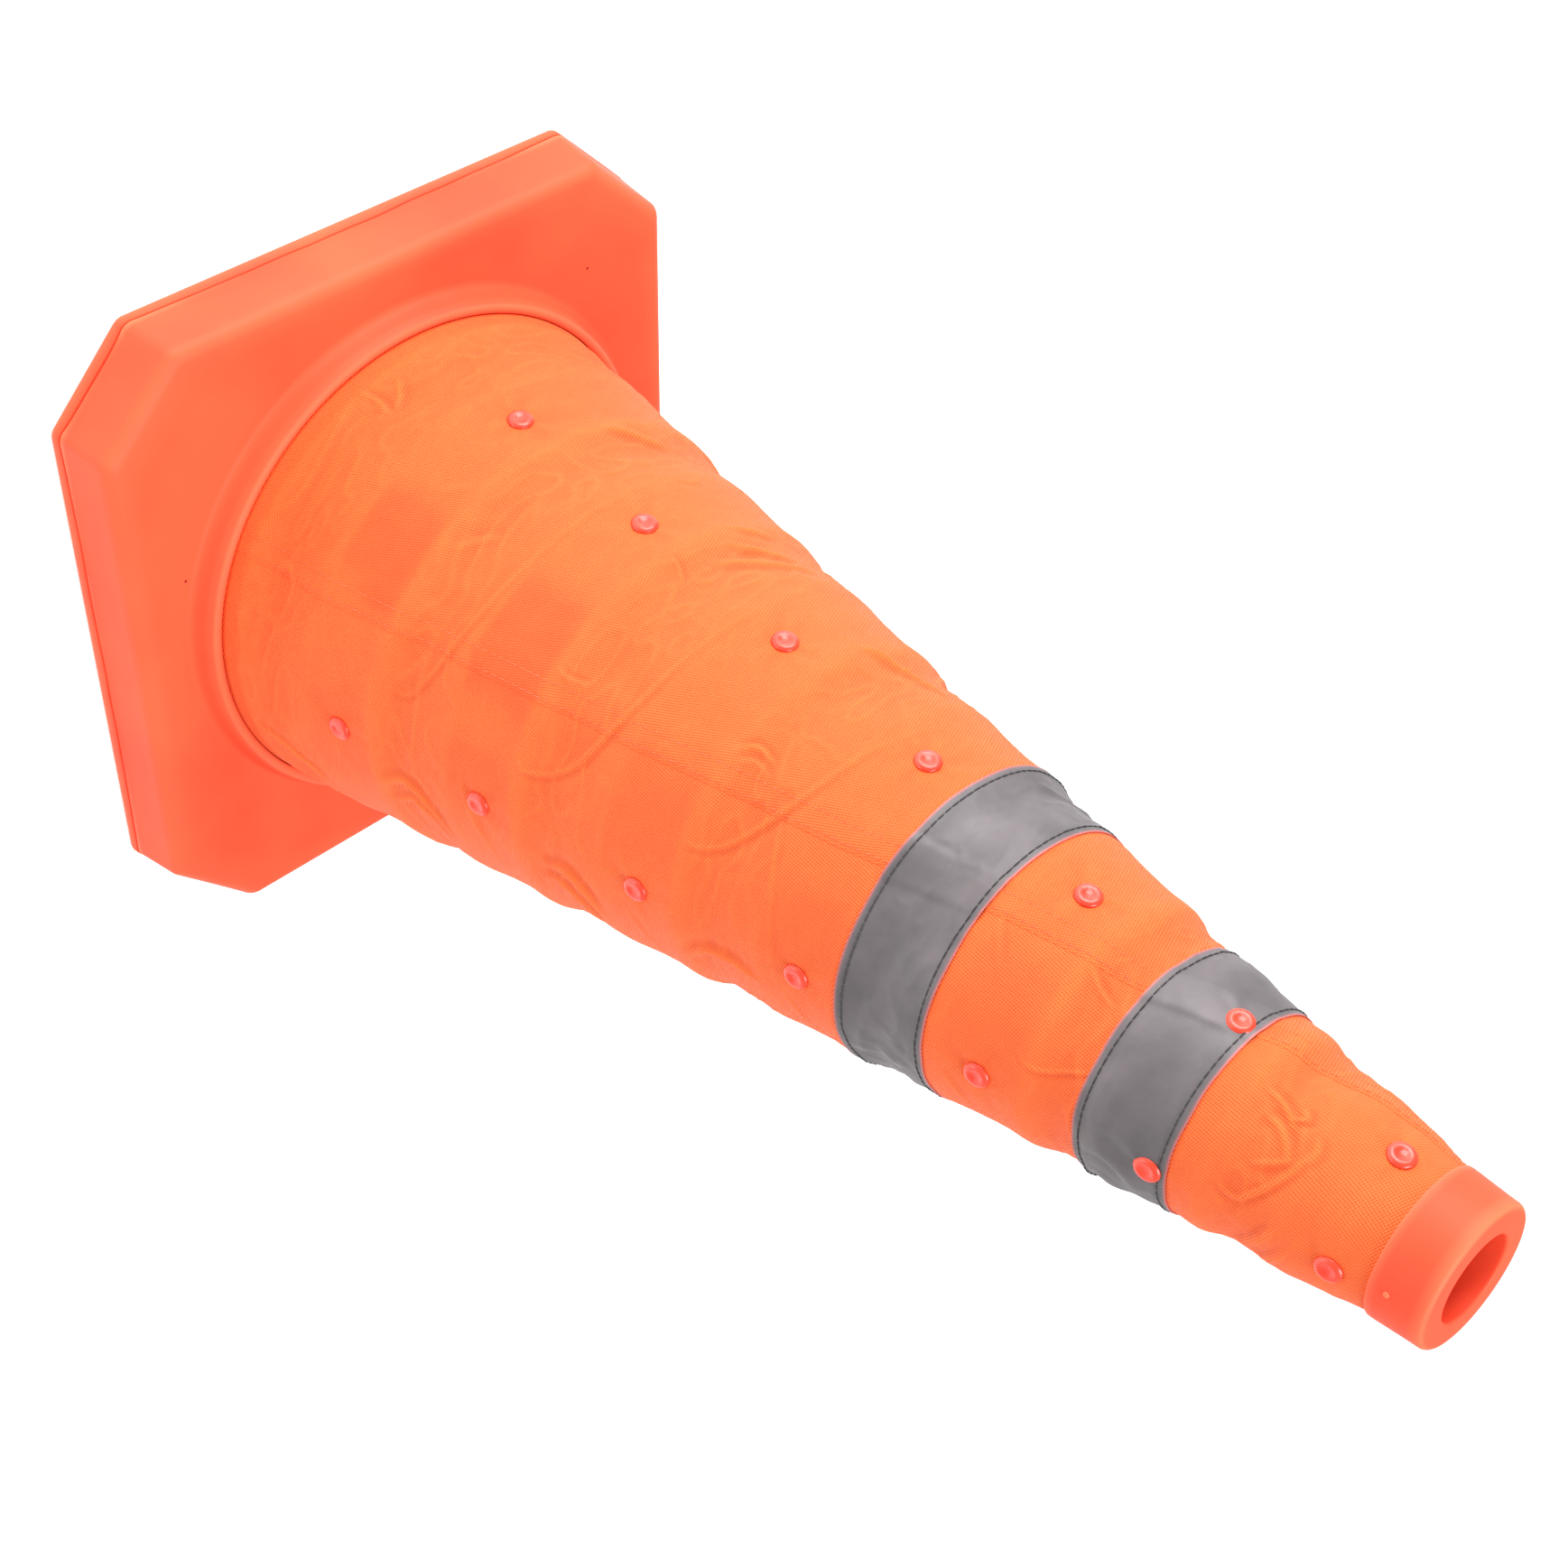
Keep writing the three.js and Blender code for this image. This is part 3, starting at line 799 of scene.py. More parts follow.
def drape(turn, z):
    """How far the cloth's outer face stands off the plain cone at each point, in millimetres."""
    turn, z = np.broadcast_arrays(np.asarray(turn, float), np.asarray(z, float))
    slack = slackness(z)
    size = 0.6 + 0.4 * cone_radius(z) / 87
    lift = np.interp(z, smooth_heights, smooth_profile)
    bulge = sampled(turn, z, 40, 0.0, 0.5)
    lift += slack * 1.9 * bulge
    lump = sampled(turn, z, 17, 9.0)
    lift += size * (0.12 + 0.88 * slack) * 0.75 * lump
    warp = 0.25 * sampled(turn, z, 30, 21.0)
    ridge = 1 - np.abs(sampled(turn + warp, z + 14 * warp, 21, 33.0)) * 3.0
    lift += size * slack * 0.22 * np.clip(ridge, 0, 1) ** 2
    fine = 1 - np.abs(sampled(turn + 0.5 * warp, z + 9 * warp, 15, 41.0, 2.4)) * 3.4
    lift += size * (0.2 + 0.8 * slack) * 0.42 * np.clip(fine, 0, 1) ** 1.5
    creased = np.zeros_like(lift)
    add_creases(creased, turn, z)
    lift += creased * np.clip(0.45 + 1.2 * slack, 0, 1)
    for level in RIVET_LEVELS:
        for number, rivet_turn in enumerate(RIVET_TURNS):
            x = arc_gap(turn, rivet_turn) * cone_radius(level)
            y = z - level
            away = np.hypot(x, y)
            near = away < 26
            a = np.arctan2(y[near], x[near])
            spokes = np.cos(5 * a + level) + 0.6 * np.cos(8 * a + 2.3 * number + level)
            lift[near] += 0.13 * spokes * np.exp(-(((away[near] - 9) / 5) ** 2))
            lift[near] -= 0.25 * np.exp(-((away[near] / 6.5) ** 2))
    free = np.clip((z - CLEAR_OF_COLLAR + 1) / 6, 0, 1) ** 2
    snug = np.clip((439 - z) / 9, 0, 1) ** 2
    return free * (snug * lift + (1 - snug) * 0.7)


def grid_mesh(name, outer, inner, flat_uv, marks):
    """A closed sheet: an outer and an inner grid of points in millimetres joined by flat rims,
    with a flat-pattern UV in metres and named point marks."""
    rows, columns = outer.shape[:2]
    front = np.arange(rows * columns).reshape(rows, columns)
    back = front + rows * columns

    def quads(grid):
        return np.stack([grid[:-1, :-1], grid[:-1, 1:], grid[1:, 1:], grid[1:, :-1]], axis=-1)

    def rim(near, far):
        return np.stack([near[:-1], far[:-1], far[1:], near[1:]], axis=-1)

    walls = np.concatenate([quads(front).reshape(-1, 4), quads(back)[..., ::-1].reshape(-1, 4)])
    rims = np.concatenate(
        [
            rim(front[0], back[0]), rim(front[-1], back[-1])[:, ::-1],
            rim(front[:, 0], back[:, 0])[:, ::-1], rim(front[:, -1], back[:, -1]),
        ]
    )
    faces = np.concatenate([walls, rims])
    points = np.concatenate([outer.reshape(-1, 3), inner.reshape(-1, 3)]) * MM
    mesh = bpy.data.meshes.new(name)
    mesh.from_pydata(points.tolist(), [], faces.tolist())
    mesh.shade_smooth()
    side_of = np.zeros(len(mesh.loops), np.int32)
    mesh.loops.foreach_get("edge_index", side_of)
    sharp = np.zeros(len(mesh.edges), bool)
    sharp[side_of[len(walls) * 4 :]] = True
    mesh.attributes.new("sharp_edge", "BOOLEAN", "EDGE").data.foreach_set("value", sharp)
    both = np.concatenate([flat_uv.reshape(-1, 2)] * 2)
    layer = mesh.uv_layers.new(name="cut")
    layer.data.foreach_set("uv", both[faces.ravel()].ravel())
    for label, values in marks.items():
        attribute = mesh.attributes.new(label, "FLOAT", "POINT")
        attribute.data.foreach_set("value", np.concatenate([values.ravel()] * 2))
    mesh.update()
    return mesh


def on_cone(turn, z, lift):
    """Points at a distance off the cone, along the cone's own normal."""
    radius = cone_radius(z) + lift * math.cos(LEAN)
    return np.stack(
        [radius * np.cos(turn), radius * np.sin(turn), z + lift * math.sin(LEAN) + 0 * turn],
        axis=-1,
    )


# Oxford cloth with a PVC coating on its back: a small even basket weave with a dull sheen. It is
# darker where a hoop shuts off the light behind it. The thread pairs are 0.9 mm apart; they are
# drawn 1.15 mm apart, so that the weave shows.
THREAD_PAIR = 0.00115
oxford, oxford_tree, oxford_shader = material(
    "coated_oxford_cloth", 0.7, Sheen_Weight=0.05, Specular_IOR_Level=0.3
)
oxford_shader.inputs["Sheen Roughness"].default_value = 0.4
cut_uv = node(oxford_tree, "ShaderNodeUVMap", uv_map="cut").outputs["UV"]
thread = node(
    oxford_tree, "ShaderNodeVectorMath", {0: cut_uv, "Scale": 2 * math.pi / THREAD_PAIR},
    operation="SCALE",
).outputs["Vector"]
split = node(oxford_tree, "ShaderNodeSeparateXYZ", {0: thread})
warp_wave = node(oxford_tree, "ShaderNodeMath", {0: split.outputs[0]}, operation="SINE").outputs[0]
weft_wave = node(oxford_tree, "ShaderNodeMath", {0: split.outputs[1]}, operation="SINE").outputs[0]
weave = node(
    oxford_tree, "ShaderNodeMath", {0: warp_wave, 1: weft_wave}, operation="MULTIPLY"
).outputs[0]
slub = node(
    oxford_tree, "ShaderNodeTexNoise", {"Vector": cut_uv, "Scale": 1 / 0.011, "Detail": 4.0}
).outputs["Fac"]
# Painted shade: a lit tone, and a darker tone where a hoop behind the cloth shuts off the light.
hoop_shade_painted = node(oxford_tree, "ShaderNodeAttribute", attribute_name="hoop_shade_painted").outputs["Fac"]
lit = node(
    oxford_tree, "ShaderNodeMix", {0: slub, 6: linear("#ff6027"), 7: linear("#ff6b2f")},
    data_type="RGBA",
).outputs[2]
shaded_by_hoop = node(
    oxford_tree, "ShaderNodeMix", {0: slub, 6: linear("#fb4f20"), 7: linear("#ff5826")},
    data_type="RGBA",
).outputs[2]
lit_or_hoop_shaded = node(
    oxford_tree, "ShaderNodeMix", {0: hoop_shade_painted, 6: lit, 7: shaded_by_hoop}, data_type="RGBA"
).outputs[2]
pit = node(
    oxford_tree, "ShaderNodeMapRange",
    {"Value": weave, "From Min": -1.0, "From Max": 1.0, "To Min": 0.64, "To Max": 1.24},
).outputs["Result"]
# The cloth is paler on its ridges, partly wear and partly painted light, and darker in its hollows
# as painted shade.
raised = node(oxford_tree, "ShaderNodeAttribute", attribute_name="raised").outputs["Fac"]
ridge_wear_and_hollow_shade = node(
    oxford_tree, "ShaderNodeMapRange", {"Value": raised, "To Min": 0.8, "To Max": 1.1}
).outputs["Result"]
pit = node(oxford_tree, "ShaderNodeMath", {0: pit, 1: ridge_wear_and_hollow_shade}, operation="MULTIPLY").outputs[0]
woven = node(
    oxford_tree, "ShaderNodeVectorMath", {0: lit_or_hoop_shaded, "Scale": pit}, operation="SCALE",
).outputs["Vector"]
oxford_tree.links.new(woven, oxford_shader.inputs["Base Color"])
weave_bump = node(
    oxford_tree, "ShaderNodeBump", {"Height": weave, "Strength": 1.0, "Distance": 0.00013}
).outputs["Normal"]
slub_bump = node(
    oxford_tree, "ShaderNodeBump",
    {"Height": slub, "Strength": 0.5, "Distance": 0.0006, "Normal": weave_bump},
).outputs["Normal"]
oxford_tree.links.new(slub_bump, oxford_shader.inputs["Normal"])


def cloth_end(z):
    """How much a lap lifts the cloth, and the fan of columns round the cone at each height."""
    lap_turn = LAP / cone_radius(z)
    full = 2 * math.pi
    lead = 7 / cone_radius(z)
    share = np.linspace(0, 1, COLUMNS)[None, :]
    body = share * (full - lead)[:, None]
    ramp = full - lead[:, None] + np.linspace(0, 1, 9)[None, 1:] * lead[:, None]
    over = full + np.linspace(0, 1, 9)[None, 1:] * lap_turn[:, None]
    fan = np.concatenate([body, ramp, over], axis=1)
    rise = np.clip((fan - full + lead[:, None]) / lead[:, None], 0, 1)
    pressed_edge = 1 - 0.7 * np.clip((fan - full) / lap_turn[:, None], 0, 1) ** 8
    return fan, LAP_LIFT * rise * rise * (3 - 2 * rise) * pressed_edge


# Patches of painted shade where a hoop behind the cloth shuts off the light through it: (hoop,
# degrees, how far to each side, how dark).
HOOP_SHADE_PATCHES = [(1, -48, 12, 0.65), (2, -45, 17, 0.6), (3, -28, 16, 0.3), (2, -6, 9, 0.35)]
HOOP_SHADE_PATCHES += [(1, 2, 13, 0.3), (4, -20, 18, 0.25), (5, -30, 25, 0.2), (1, -104, 20, 0.2)]
HOOP_SHADE_PATCHES += [(1, 120, 25, 0.7), (2, 90, 20, 0.8), (3, 150, 30, 0.6), (4, 80, 25, 0.5)]


def painted_hoop_shade(turn, z):
    """How much painted shade a hoop behind the cloth puts on it at each point, from 0 to 1."""
    total = np.zeros_like(z)
    ragged = 7 * sampled(turn, z, 18, 57.0)
    for hoop, degrees, reach, dark in HOOP_SHADE_PATCHES:
        aside = np.abs(np.degrees(arc_gap(turn, math.radians(degrees)))) + ragged
        across = np.abs(z - HOOP_LEVELS[hoop - 1]) + 0.3 * ragged
        soft = 1 / (1 + np.exp((aside - reach) / 1.2)) / (1 + np.exp((across - 12.5) / 0.5))
        total = np.maximum(total, dark * soft)
    return total


sleeve_bodies = ["base"] + [f"hoop_{k}" for k in range(1, 7)] + ["cap"]
sleeve_seams = [SLEEVE_FOOT] + RIVET_LEVELS[:-1] + [SLEEVE_TOP]


def bend_and_name(obj, node_name):
    """Hides the CAD part of the node that a soft piece between two rings of rivets stands for, if
    one is given, and bakes the piece's place into its mesh."""
    if node_name:
        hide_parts(node_name)
    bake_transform(obj)


for number in range(1, 8):
    low, high = sleeve_seams[number - 1], sleeve_seams[number]
    rows = int(round((high - low) / ROW_STEP)) + 1
    z = np.linspace(low, high, rows)
    fan, lap_rise = cloth_end(z)
    z_grid = np.broadcast_to(z[:, None], fan.shape)
    turn = seam_turn(z)[:, None] + fan
    body_lift = drape(turn, z_grid)
    in_throat = np.clip((z_grid - 30) / 8, 0, 1) * np.clip((441 - z_grid) / 10, 0.3, 1)
    lift = body_lift + lap_rise * in_throat
    outer = on_cone(turn, z_grid, lift)
    inner = on_cone(turn, z_grid, lift - CLOTH)
    slant = (APEX - z_grid) / math.cos(LEAN) * MM
    fan_flat = (fan - math.pi) * math.sin(LEAN)
    flat_uv = np.stack([slant * np.sin(fan_flat), slant * np.cos(fan_flat)], axis=-1)
    smoothed = body_lift
    for _ in range(6):
        padded = np.pad(smoothed, 1, mode="edge")
        smoothed = (
            padded[:-2, 1:-1] + padded[2:, 1:-1] + padded[1:-1, :-2] + padded[1:-1, 2:]
        ) / 4
    marks = {
        # painted shade where a hoop stands behind the cloth
        "hoop_shade_painted": painted_hoop_shade(turn, z_grid),
        # how far a point stands above its smoothed neighbours, for the painted ridge light and
        # hollow shade
        "raised": np.clip(0.5 + (body_lift - smoothed) / 0.5, 0, 1),
    }
    cloth_name = f"sleeve_cloth_{number}"
    cloth = placed(cloth_name, grid_mesh(cloth_name, outer, inner, flat_uv, marks), oxford)
    bend_and_name(cloth, f"sleeve_{number}")
    holders = ["hem_clamp_ring", "hoop_strip_1"] if number == 1 else [f"hoop_strip_{number - 1}"]
    if 1 < number < 7:
        holders.append(f"hoop_strip_{number}")


# The lap seam's stitches: two rows of orange polyester lockstitch through the overlap. Each
# stitch is a short tight bulge of thread.

STITCH = 3.0
THREAD = 0.3
SEAM_ROWS = (1.6, 7.2)  # how far the rows are from the lap's free edge


def thread_pattern(name, length, thickness):
    """One stitch lying along X: a short spindle of thread."""
    half = length / 2
    outline = []
    for share in (-1, -0.92, -0.6, 0, 0.6, 0.92, 1):
        outline.append((thickness / 2 * math.sqrt(max(0, 1 - share**4)), share * half))
    mesh = turned(name, outline, 6, 60)
    mesh.transform(Matrix.Rotation(math.pi / 2, 4, "Y"))
    return placed(name, mesh, None)


def stitch_tree(name, finish):
    """Stitches laid end to end along a line of points, each a little uneven."""
    tree, given = new_tree(
        name,
        [
            ("Pattern", "NodeSocketObject"), ("Stitch length", "NodeSocketFloat"),
            ("Unevenness", "NodeSocketFloat"), ("Seed", "NodeSocketInt"),
        ],
    )
    line = node(tree, "GeometryNodeMeshToCurve", {"Mesh": given["Geometry"]}).outputs[0]
    spaced = node(
        tree, "GeometryNodeResampleCurve", {"Curve": line, "Length": given["Stitch length"]},
        mode="LENGTH",
    ).outputs[0]
    heading = node(tree, "GeometryNodeInputTangent").outputs[0]
    tilt = node(
        tree, "FunctionNodeAlignRotationToVector", {"Vector": heading}, axis="X"
    ).outputs[0]
    least = node(
        tree, "ShaderNodeMath", {0: 1.0, 1: given["Unevenness"]}, operation="SUBTRACT"
    ).outputs[0]
    size = node(
        tree, "FunctionNodeRandomValue", {2: least, 3: 1.0, "Seed": given["Seed"]},
        data_type="FLOAT",
    ).outputs[1]
    pattern = node(
        tree, "GeometryNodeObjectInfo", {"Object": given["Pattern"]}
    ).outputs["Geometry"]
    laid = node(
        tree, "GeometryNodeInstanceOnPoints",
        {"Points": spaced, "Instance": pattern, "Rotation": tilt, "Scale": size},
    ).outputs[0]
    finish_tree(tree, laid, finish)
    return tree


def line_mesh(name, lines):
    """Open lines of points in millimetres, as a mesh of edges."""
    points, edges = [], []
    for line in lines:
        edges += [(len(points) + k, len(points) + k + 1) for k in range(len(line) - 1)]
        points += (line * MM).tolist()
    mesh = bpy.data.meshes.new(name)
    mesh.from_pydata(points, edges, [])
    return mesh


def twisted_thread(name, even, deep):
    """Polyester thread: a satin filament twist, with fine slanting plies."""
    made, tree, shader = material(name, 0.45, Sheen_Weight=0.2)
    place = node(tree, "ShaderNodeTexCoord").outputs["Object"]
    plies = node(
        tree, "ShaderNodeTexWave", {"Vector": place, "Scale": 1 / 0.0016, "Distortion": 2.0},
        bands_direction="DIAGONAL",
    ).outputs["Fac"]
    tone = node(
        tree, "ShaderNodeMix", {0: plies, 6: linear(deep), 7: linear(even)}, data_type="RGBA"
    ).outputs[2]
    tree.links.new(tone, shader.inputs["Base Color"])
    return made


orange_thread = twisted_thread("orange_polyester_thread", "#ff652e", "#f85424")
seam_thread_tree = stitch_tree("lap_seam_stitches", orange_thread)
seam_stitch = thread_pattern("seam_stitch", STITCH * 0.86, THREAD)
for number in range(1, 8):
    low = max(sleeve_seams[number - 1], CLEAR_OF_COLLAR)
    z = np.linspace(low + 0.8, sleeve_seams[number] - 0.8, 90)
    rows = []
    for inset in SEAM_ROWS:
        turn = seam_turn(z) + (LAP - inset) / cone_radius(z)
        face = drape(turn, z) + LAP_LIFT * np.clip((441 - z) / 10, 0.3, 1)
        rows.append(on_cone(turn, z, face + 0.02))
    seam_name = f"lap_seam_thread_{number}"
    seam = grown(
        seam_name, seam_thread_tree,
        {"Pattern": seam_stitch, "Stitch length": STITCH * MM, "Unevenness": 0.12, "Seed": number},
        line_mesh(seam_name, rows),
    )
    bend_and_name(seam, None)
bpy.data.objects.remove(seam_stitch)


# The reflective bands: two 29.5 mm tapes of grey glass-bead reflective fabric, laid round the
# sleeve and sewn down with black thread near each edge. The upper one is riveted through.

BAND_1 = (273.8, 303.3)
BAND_2 = (351.5, 381.0)
BAND_SPLIT = HOOP_LEVELS[5]
TAPE = 0.35
TAPE_OFF = 0.12
TAPE_LAP = 12
STITCH_INSET = 2.4
BAND_THREAD = 0.6
BAND_THREAD_PROUD = 0.14
TAPE_ROW_STEP = 0.95
LOW_SIDE = math.radians(14)
BAND_SEAM_TURN = math.radians(118)

# Glass beads in a grey resin on woven backing: a dull silver grey that is a little mottled, with
# pale rubbed creases, and edges tinted with a painted reflection of the orange cloth.
beads, beads_tree, beads_shader = material("glass_bead_reflective_tape", 0.55, Metallic=0.15)
tape_uv = node(beads_tree, "ShaderNodeUVMap", uv_map="cut").outputs["UV"]
mottle = node(
    beads_tree, "ShaderNodeTexNoise", {"Vector": tape_uv, "Scale": 1 / 0.014, "Detail": 5.0}
).outputs["Fac"]
bead_grain = node(
    beads_tree, "ShaderNodeTexNoise", {"Vector": tape_uv, "Scale": 1 / 0.0007, "Detail": 1.0}
).outputs["Fac"]
mottle_wide = node(
    beads_tree, "ShaderNodeMapRange", {"Value": mottle, "From Min": 0.3, "From Max": 0.7}
).outputs["Result"]
grey = node(
    beads_tree, "ShaderNodeMix", {0: mottle_wide, 6: linear("#555052"), 7: linear("#655e60")},
    data_type="RGBA",
).outputs[2]
# Painted reflection: a thin strip along each edge of the tape takes the orange cloth's colour.
painted_cloth_reflection = node(beads_tree, "ShaderNodeAttribute", attribute_name="painted_cloth_reflection").outputs["Fac"]
grey_edged = node(
    beads_tree, "ShaderNodeMix", {0: painted_cloth_reflection, 6: grey, 7: linear("#b5605c")}, data_type="RGBA",
).outputs[2]
beads_tree.links.new(grey_edged, beads_shader.inputs["Base Color"])
bead_bump = node(
    beads_tree, "ShaderNodeBump", {"Height": bead_grain, "Strength": 0.3, "Distance": 0.00005}
).outputs["Normal"]
crush_bump = node(
    beads_tree, "ShaderNodeBump",
    {"Height": mottle, "Strength": 0.5, "Distance": 0.0008, "Normal": bead_bump},
).outputs["Normal"]
beads_tree.links.new(crush_bump, beads_shader.inputs["Normal"])


def band_lift(turn, z, low, high):
    """Where the tape's outer face lies: on the cloth, with small crumples of its own between the
    two rows of stitches."""
    turn, z = np.broadcast_arrays(np.asarray(turn, float), np.asarray(z, float))
    inside = np.clip(np.minimum(z - low, high - z) / 8, 0, 1)
    crush = sampled(turn, z, 7, 71.0) * 0.5 + sampled(turn, z, 18, 83.0) * 0.5
    over_seam = arc_gap(turn, seam_turn(z) + LAP / 2 / cone_radius(z)) * cone_radius(z)
    seam_step = (LAP_LIFT + 0.12) / (1 + np.exp((np.abs(over_seam) - LAP / 2 - 2.6) * 2.0))
    from_low_side = np.degrees(arc_gap(turn, LOW_SIDE))
    crumpled = 0.3 + 2.0 * np.exp(-((from_low_side / 27) ** 2))
    crumpled += 0.5 / (1 + np.exp((120 - np.abs(from_low_side)) / 4))
    crush = inside * crumpled * np.maximum(crush, -0.12)
    return drape(turn, z) + seam_step + crush + TAPE_OFF + TAPE


def tape_mesh(name, low, high, band):
    """One stretch of tape round the sleeve, its end lapped over its beginning."""
    rows = int(round((high - low) / TAPE_ROW_STEP)) + 1
    z = np.linspace(low, high, rows)
    lap_turn = TAPE_LAP / cone_radius((low + high) / 2)
    fan = np.linspace(0, 2 * math.pi + lap_turn, COLUMNS + 12)
    z_grid = np.broadcast_to(z[:, None], (rows, len(fan)))
    wander = 0.35 * sampled(BAND_SEAM_TURN + fan[None, :] + 0 * z_grid, 0 * z_grid + 30, 30, 5.0)
    turn = BAND_SEAM_TURN + np.broadcast_to(fan[None, :], z_grid.shape)
    lap_start = 2 * math.pi - 5 / cone_radius(low)
    lapped = np.clip((turn - BAND_SEAM_TURN - lap_start) / (5 / cone_radius(low)), 0, 1)
    lift = band_lift(turn, z_grid, *band) + (TAPE + 0.1) * lapped
    waved = z_grid + wander * (np.abs(z_grid - sum(band) / 2) / 15)
    if high < band[1]:
        waved = np.where(z_grid == high, z_grid, waved)
    if low > band[0]:
        waved = np.where(z_grid == low, z_grid, waved)
    outer = on_cone(turn, waved, lift)
    inner = on_cone(turn, waved, lift - TAPE)
    flat_uv = np.stack([turn * cone_radius(sum(band) / 2), z_grid], axis=-1) * MM
    from_edge = np.minimum(z_grid - band[0], band[1] - z_grid)
    # the painted reflection of the cloth along each edge of the tape
    return grid_mesh(name, outer, inner, flat_uv, {"painted_cloth_reflection": (from_edge < 0.5).astype(float)})


black_thread = twisted_thread("black_polyester_thread", "#1c1517", "#0b0708")
band_thread_tree = stitch_tree("band_stitches", black_thread)
band_stitch = thread_pattern("band_stitch", STITCH, BAND_THREAD)
band_pieces = {}
for tape_name, node_name, band, low, high, number in (
    ("lower_band_tape", "band_1", BAND_1, BAND_1[0], BAND_1[1], 5),
    ("upper_band_tape_low", "band_2_lower", BAND_2, BAND_2[0], BAND_SPLIT, 6),
    ("upper_band_tape_high", "band_2_upper", BAND_2, BAND_SPLIT, BAND_2[1], 7),
):
    tape = placed(tape_name, tape_mesh(tape_name, low, high, band), beads)
    thread_rows = []
    for z_row, shown in (
        (band[0] + STITCH_INSET, low == band[0]), (band[1] - STITCH_INSET, high == band[1]),
    ):
        if shown:
            around = np.linspace(0, 2 * math.pi, 400)
            z_line = z_row + 0.25 * sampled(around, 0 * around + z_row, 24, 12.0)
            face = band_lift(around, z_line, *band)
            thread_rows.append(on_cone(around, z_line, face + BAND_THREAD_PROUD))
    thread_name = tape_name.replace("tape", "thread")
    band_thread = grown(
        thread_name, band_thread_tree,
        {"Pattern": band_stitch, "Stitch length": STITCH * MM, "Unevenness": 0.1, "Seed": number},
        line_mesh(thread_name, thread_rows),
    )
    if number < 7:
        bend_and_name(tape, node_name)
        bend_and_name(band_thread, None)
    else:
        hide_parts(node_name)
        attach(tape, "hoop_6")
        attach(band_thread, "hoop_6")
    band_pieces[number] = [tape, band_thread, low, high]
tape_high, thread_high = band_pieces[7][:2]
for number, more in ((5, []), (6, [tape_high, thread_high])):
    tape, band_thread, low, high = band_pieces[number]
bpy.data.objects.remove(band_stitch)


# The push rivets: seven rings of four, moulded in clear coral polycarbonate. Each has a dimpled
# dome outside the cloth, a plain shank through the cloth and hoop, and a flat tail inside.

RIVET_OUTLINE = [
    (0, 0.72), (0.7, 0.72), (1.3, 0.84), (1.9, 1.16), (2.4, 1.32), (2.9, 1.34), (3.4, 1.20),
    (3.85, 0.90), (4.15, 0.52), (4.25, 0.25), (4.15, 0.06), (3.6, 0.0), (1.5, 0.0), (1.5, -2.9),
    (2.2, -2.9), (2.6, -3.1), (2.7, -3.5), (2.5, -3.8), (0, -3.9),
]
RIVET_SEAT = 0.05
RIVET_SEATS = {6: 0.55, 7: 0.9}  # the two rings that sit further out than the rest

# Polycarbonate: a clear, slightly deeper coral that takes small hard highlights.
clear_coral, clear_tree, clear_shader = material(
    "clear_coral_polycarbonate", 0.33, IOR=1.45, Transmission_Weight=0.1, Coat_Weight=0.2
)
clear_place = node(clear_tree, "ShaderNodeTexCoord").outputs["Object"]
flow = node(
    clear_tree, "ShaderNodeTexNoise", {"Vector": clear_place, "Scale": 1 / 0.004, "Detail": 2.0}
).outputs["Fac"]
clear_tone = node(
    clear_tree, "ShaderNodeMix", {0: flow, 6: linear("#f2331e"), 7: linear("#ff4c31")},
    data_type="RGBA",
).outputs[2]
clear_tree.links.new(clear_tone, clear_shader.inputs["Base Color"])
flow_bump = node(
    clear_tree, "ShaderNodeBump", {"Height": flow, "Strength": 0.2, "Distance": 0.0002}
).outputs["Normal"]
clear_tree.links.new(flow_bump, clear_shader.inputs["Normal"])

rivet_tree, rivet_in = new_tree(
    "ring_of_rivets",
    [
        ("Pattern", "NodeSocketObject"), ("Rivets", "NodeSocketInt"),
        ("Radius", "NodeSocketFloat"), ("Level", "NodeSocketFloat"), ("Lean", "NodeSocketFloat"),
    ],
)
ring_points = node(
    rivet_tree, "GeometryNodeMeshCircle",
    {"Vertices": rivet_in["Rivets"], "Radius": rivet_in["Radius"]},
).outputs["Mesh"]
ring_lift = node(rivet_tree, "ShaderNodeCombineXYZ", {"Z": rivet_in["Level"]}).outputs[0]
ring_set = node(
    rivet_tree, "GeometryNodeTransform", {"Geometry": ring_points, "Translation": ring_lift}
).outputs[0]
rivet_number = node(rivet_tree, "GeometryNodeInputIndex").outputs[0]
one_turn = node(
    rivet_tree, "ShaderNodeMath", {0: 2 * math.pi, 1: rivet_in["Rivets"]}, operation="DIVIDE"
).outputs[0]
rivet_turn = node(
    rivet_tree, "ShaderNodeMath", {0: rivet_number, 1: one_turn}, operation="MULTIPLY"
).outputs[0]
rivet_tip = node(
    rivet_tree, "ShaderNodeMath", {0: math.pi / 2, 1: rivet_in["Lean"]}, operation="SUBTRACT"
).outputs[0]
rivet_way = node(rivet_tree, "ShaderNodeCombineXYZ", {"Y": rivet_tip, "Z": rivet_turn}).outputs[0]
rivet_shape = node(
    rivet_tree, "GeometryNodeObjectInfo", {"Object": rivet_in["Pattern"]}
).outputs["Geometry"]
rivet_ring = node(
    rivet_tree, "GeometryNodeInstanceOnPoints",
    {"Points": ring_set, "Instance": rivet_shape, "Rotation": rivet_way},
).outputs[0]
finish_tree(rivet_tree, rivet_ring, clear_coral)

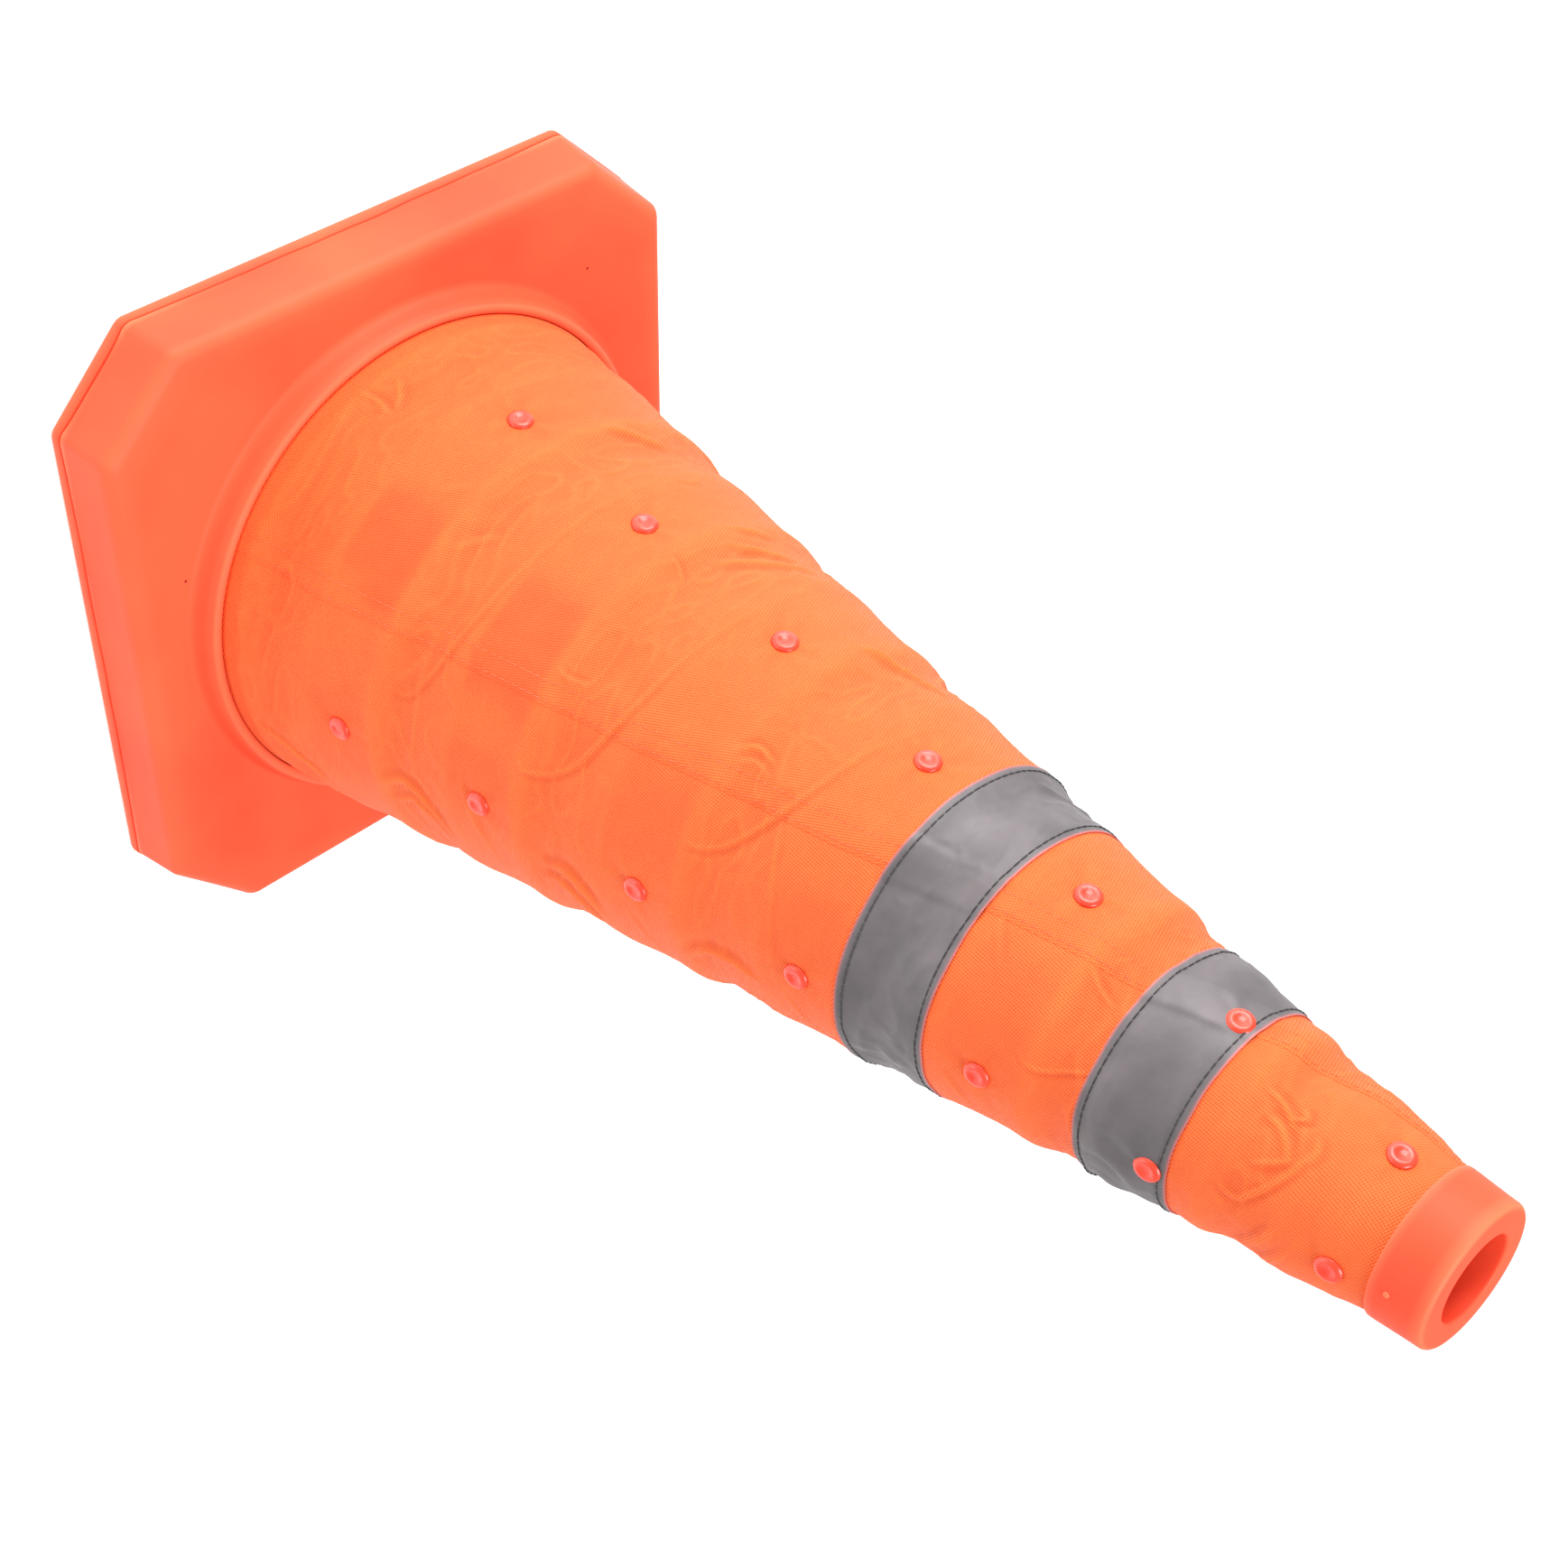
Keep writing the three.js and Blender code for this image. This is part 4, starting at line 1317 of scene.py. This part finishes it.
rivet_pattern = placed("rivet_pattern", turned("rivet_pattern", RIVET_OUTLINE, 28, 50), None)
for number, level in enumerate(RIVET_LEVELS, 1):
    seat = RIVET_SEATS.get(number, RIVET_SEAT)
    ring = grown(
        f"rivet_ring_{number}", rivet_tree,
        {
            "Pattern": rivet_pattern, "Rivets": len(RIVET_TURNS),
            "Radius": (cone_radius(level) + seat * math.cos(LEAN)) * MM,
            "Level": (level + seat * math.sin(LEAN)) * MM, "Lean": LEAN,
        },
    )
    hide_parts(*[f"rivet_{number}_{letter}" for letter in "abcd"])
    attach(ring, sleeve_bodies[number])
bpy.data.objects.remove(rivet_pattern)


# The top cap: a short moulded ring over the sleeve's end, with a through bore for a lamp or a
# pole, a rounded lower lip, and a skirt inside the cloth that the last ring of rivets holds.

CAP_OUTLINE = [
    (22.6, 440.1), (23.2, 440.15), (23.6, 440.5), (23.7, 441.1), (23.62, 443), (23.3, 448),
    (23.0, 453.2), (22.9, 455.9), (22.78, 456.6), (22.45, 457.2), (21.95, 457.65), (21.3, 457.9),
    (20.4, 457.98), (19.5, 458), (14.9, 458), (14.35, 457.88), (13.98, 457.55), (13.8, 457.0),
    (13.8, 448), (13.8, 436.4), (14.1, 436), (15.5, 436), (15.8, 436.4), (15.8, 453.6),
    (16.4, 454.4), (19.6, 454.4), (20.3, 453.4), (cone_radius(440) - 2.6, 440),
    (cone_radius(417) - 2.5, 417.2), (cone_radius(417) - 2.2, CAP_SKIRT_FOOT),
    (cone_radius(417) - 1.2, CAP_SKIRT_FOOT), (cone_radius(417) - 0.9, 417.2),
    (cone_radius(439.4) - 0.9, 439.4), (cone_radius(440) - 0.9, 440.1),
]
GATE_TURN = math.radians(-8)
GATE_HEIGHT = 446
GATE_RADIUS = 0.9
cap_mesh = turned("top_cap_moulding", CAP_OUTLINE, 192)
gate_mesh = turned(
    "gate_pip",
    [(0, -0.8), (GATE_RADIUS, -0.8), (GATE_RADIUS, 0.2), (0.7, 0.4), (0.4, 0.25), (0, 0.2)], 20,
    50,
)
gate_mesh.transform(
    Matrix.Rotation(GATE_TURN, 4, "Z")
    @ Matrix.Translation((23.46 * MM, 0, GATE_HEIGHT * MM))
    @ Matrix.Rotation(math.pi / 2 - math.atan(0.06), 4, "Y")
)
cap_shape = bmesh.new()
cap_shape.from_mesh(cap_mesh)
cap_shape.from_mesh(gate_mesh)
cap_shape.to_mesh(cap_mesh)
cap_shape.free()


def cap_wear_and_highlight(place):
    """Strongest round the rim of the face and the lower lip, partly wear and partly painted
    highlight, and pale on the gate pip.
    """
    out = math.hypot(place.x, place.y)
    rim = math.exp(-(((out - 22.4) / 0.7) ** 2)) * (place.z > 455.5)
    lip = math.exp(-(((place.z - 440.6) / 0.6) ** 2))
    gate = math.hypot(math.atan2(place.y, place.x) - GATE_TURN, (place.z - GATE_HEIGHT) / 23)
    return max(0.7 * rim, 0.7 * lip, 1.0 * (gate < 0.045 and out > 22.5))


mark_wear_and_highlight(cap_mesh, cap_wear_and_highlight)
cap = placed("top_cap_moulding", cap_mesh, coral)
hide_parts("top_cap")
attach(cap, "cap")


low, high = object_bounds()
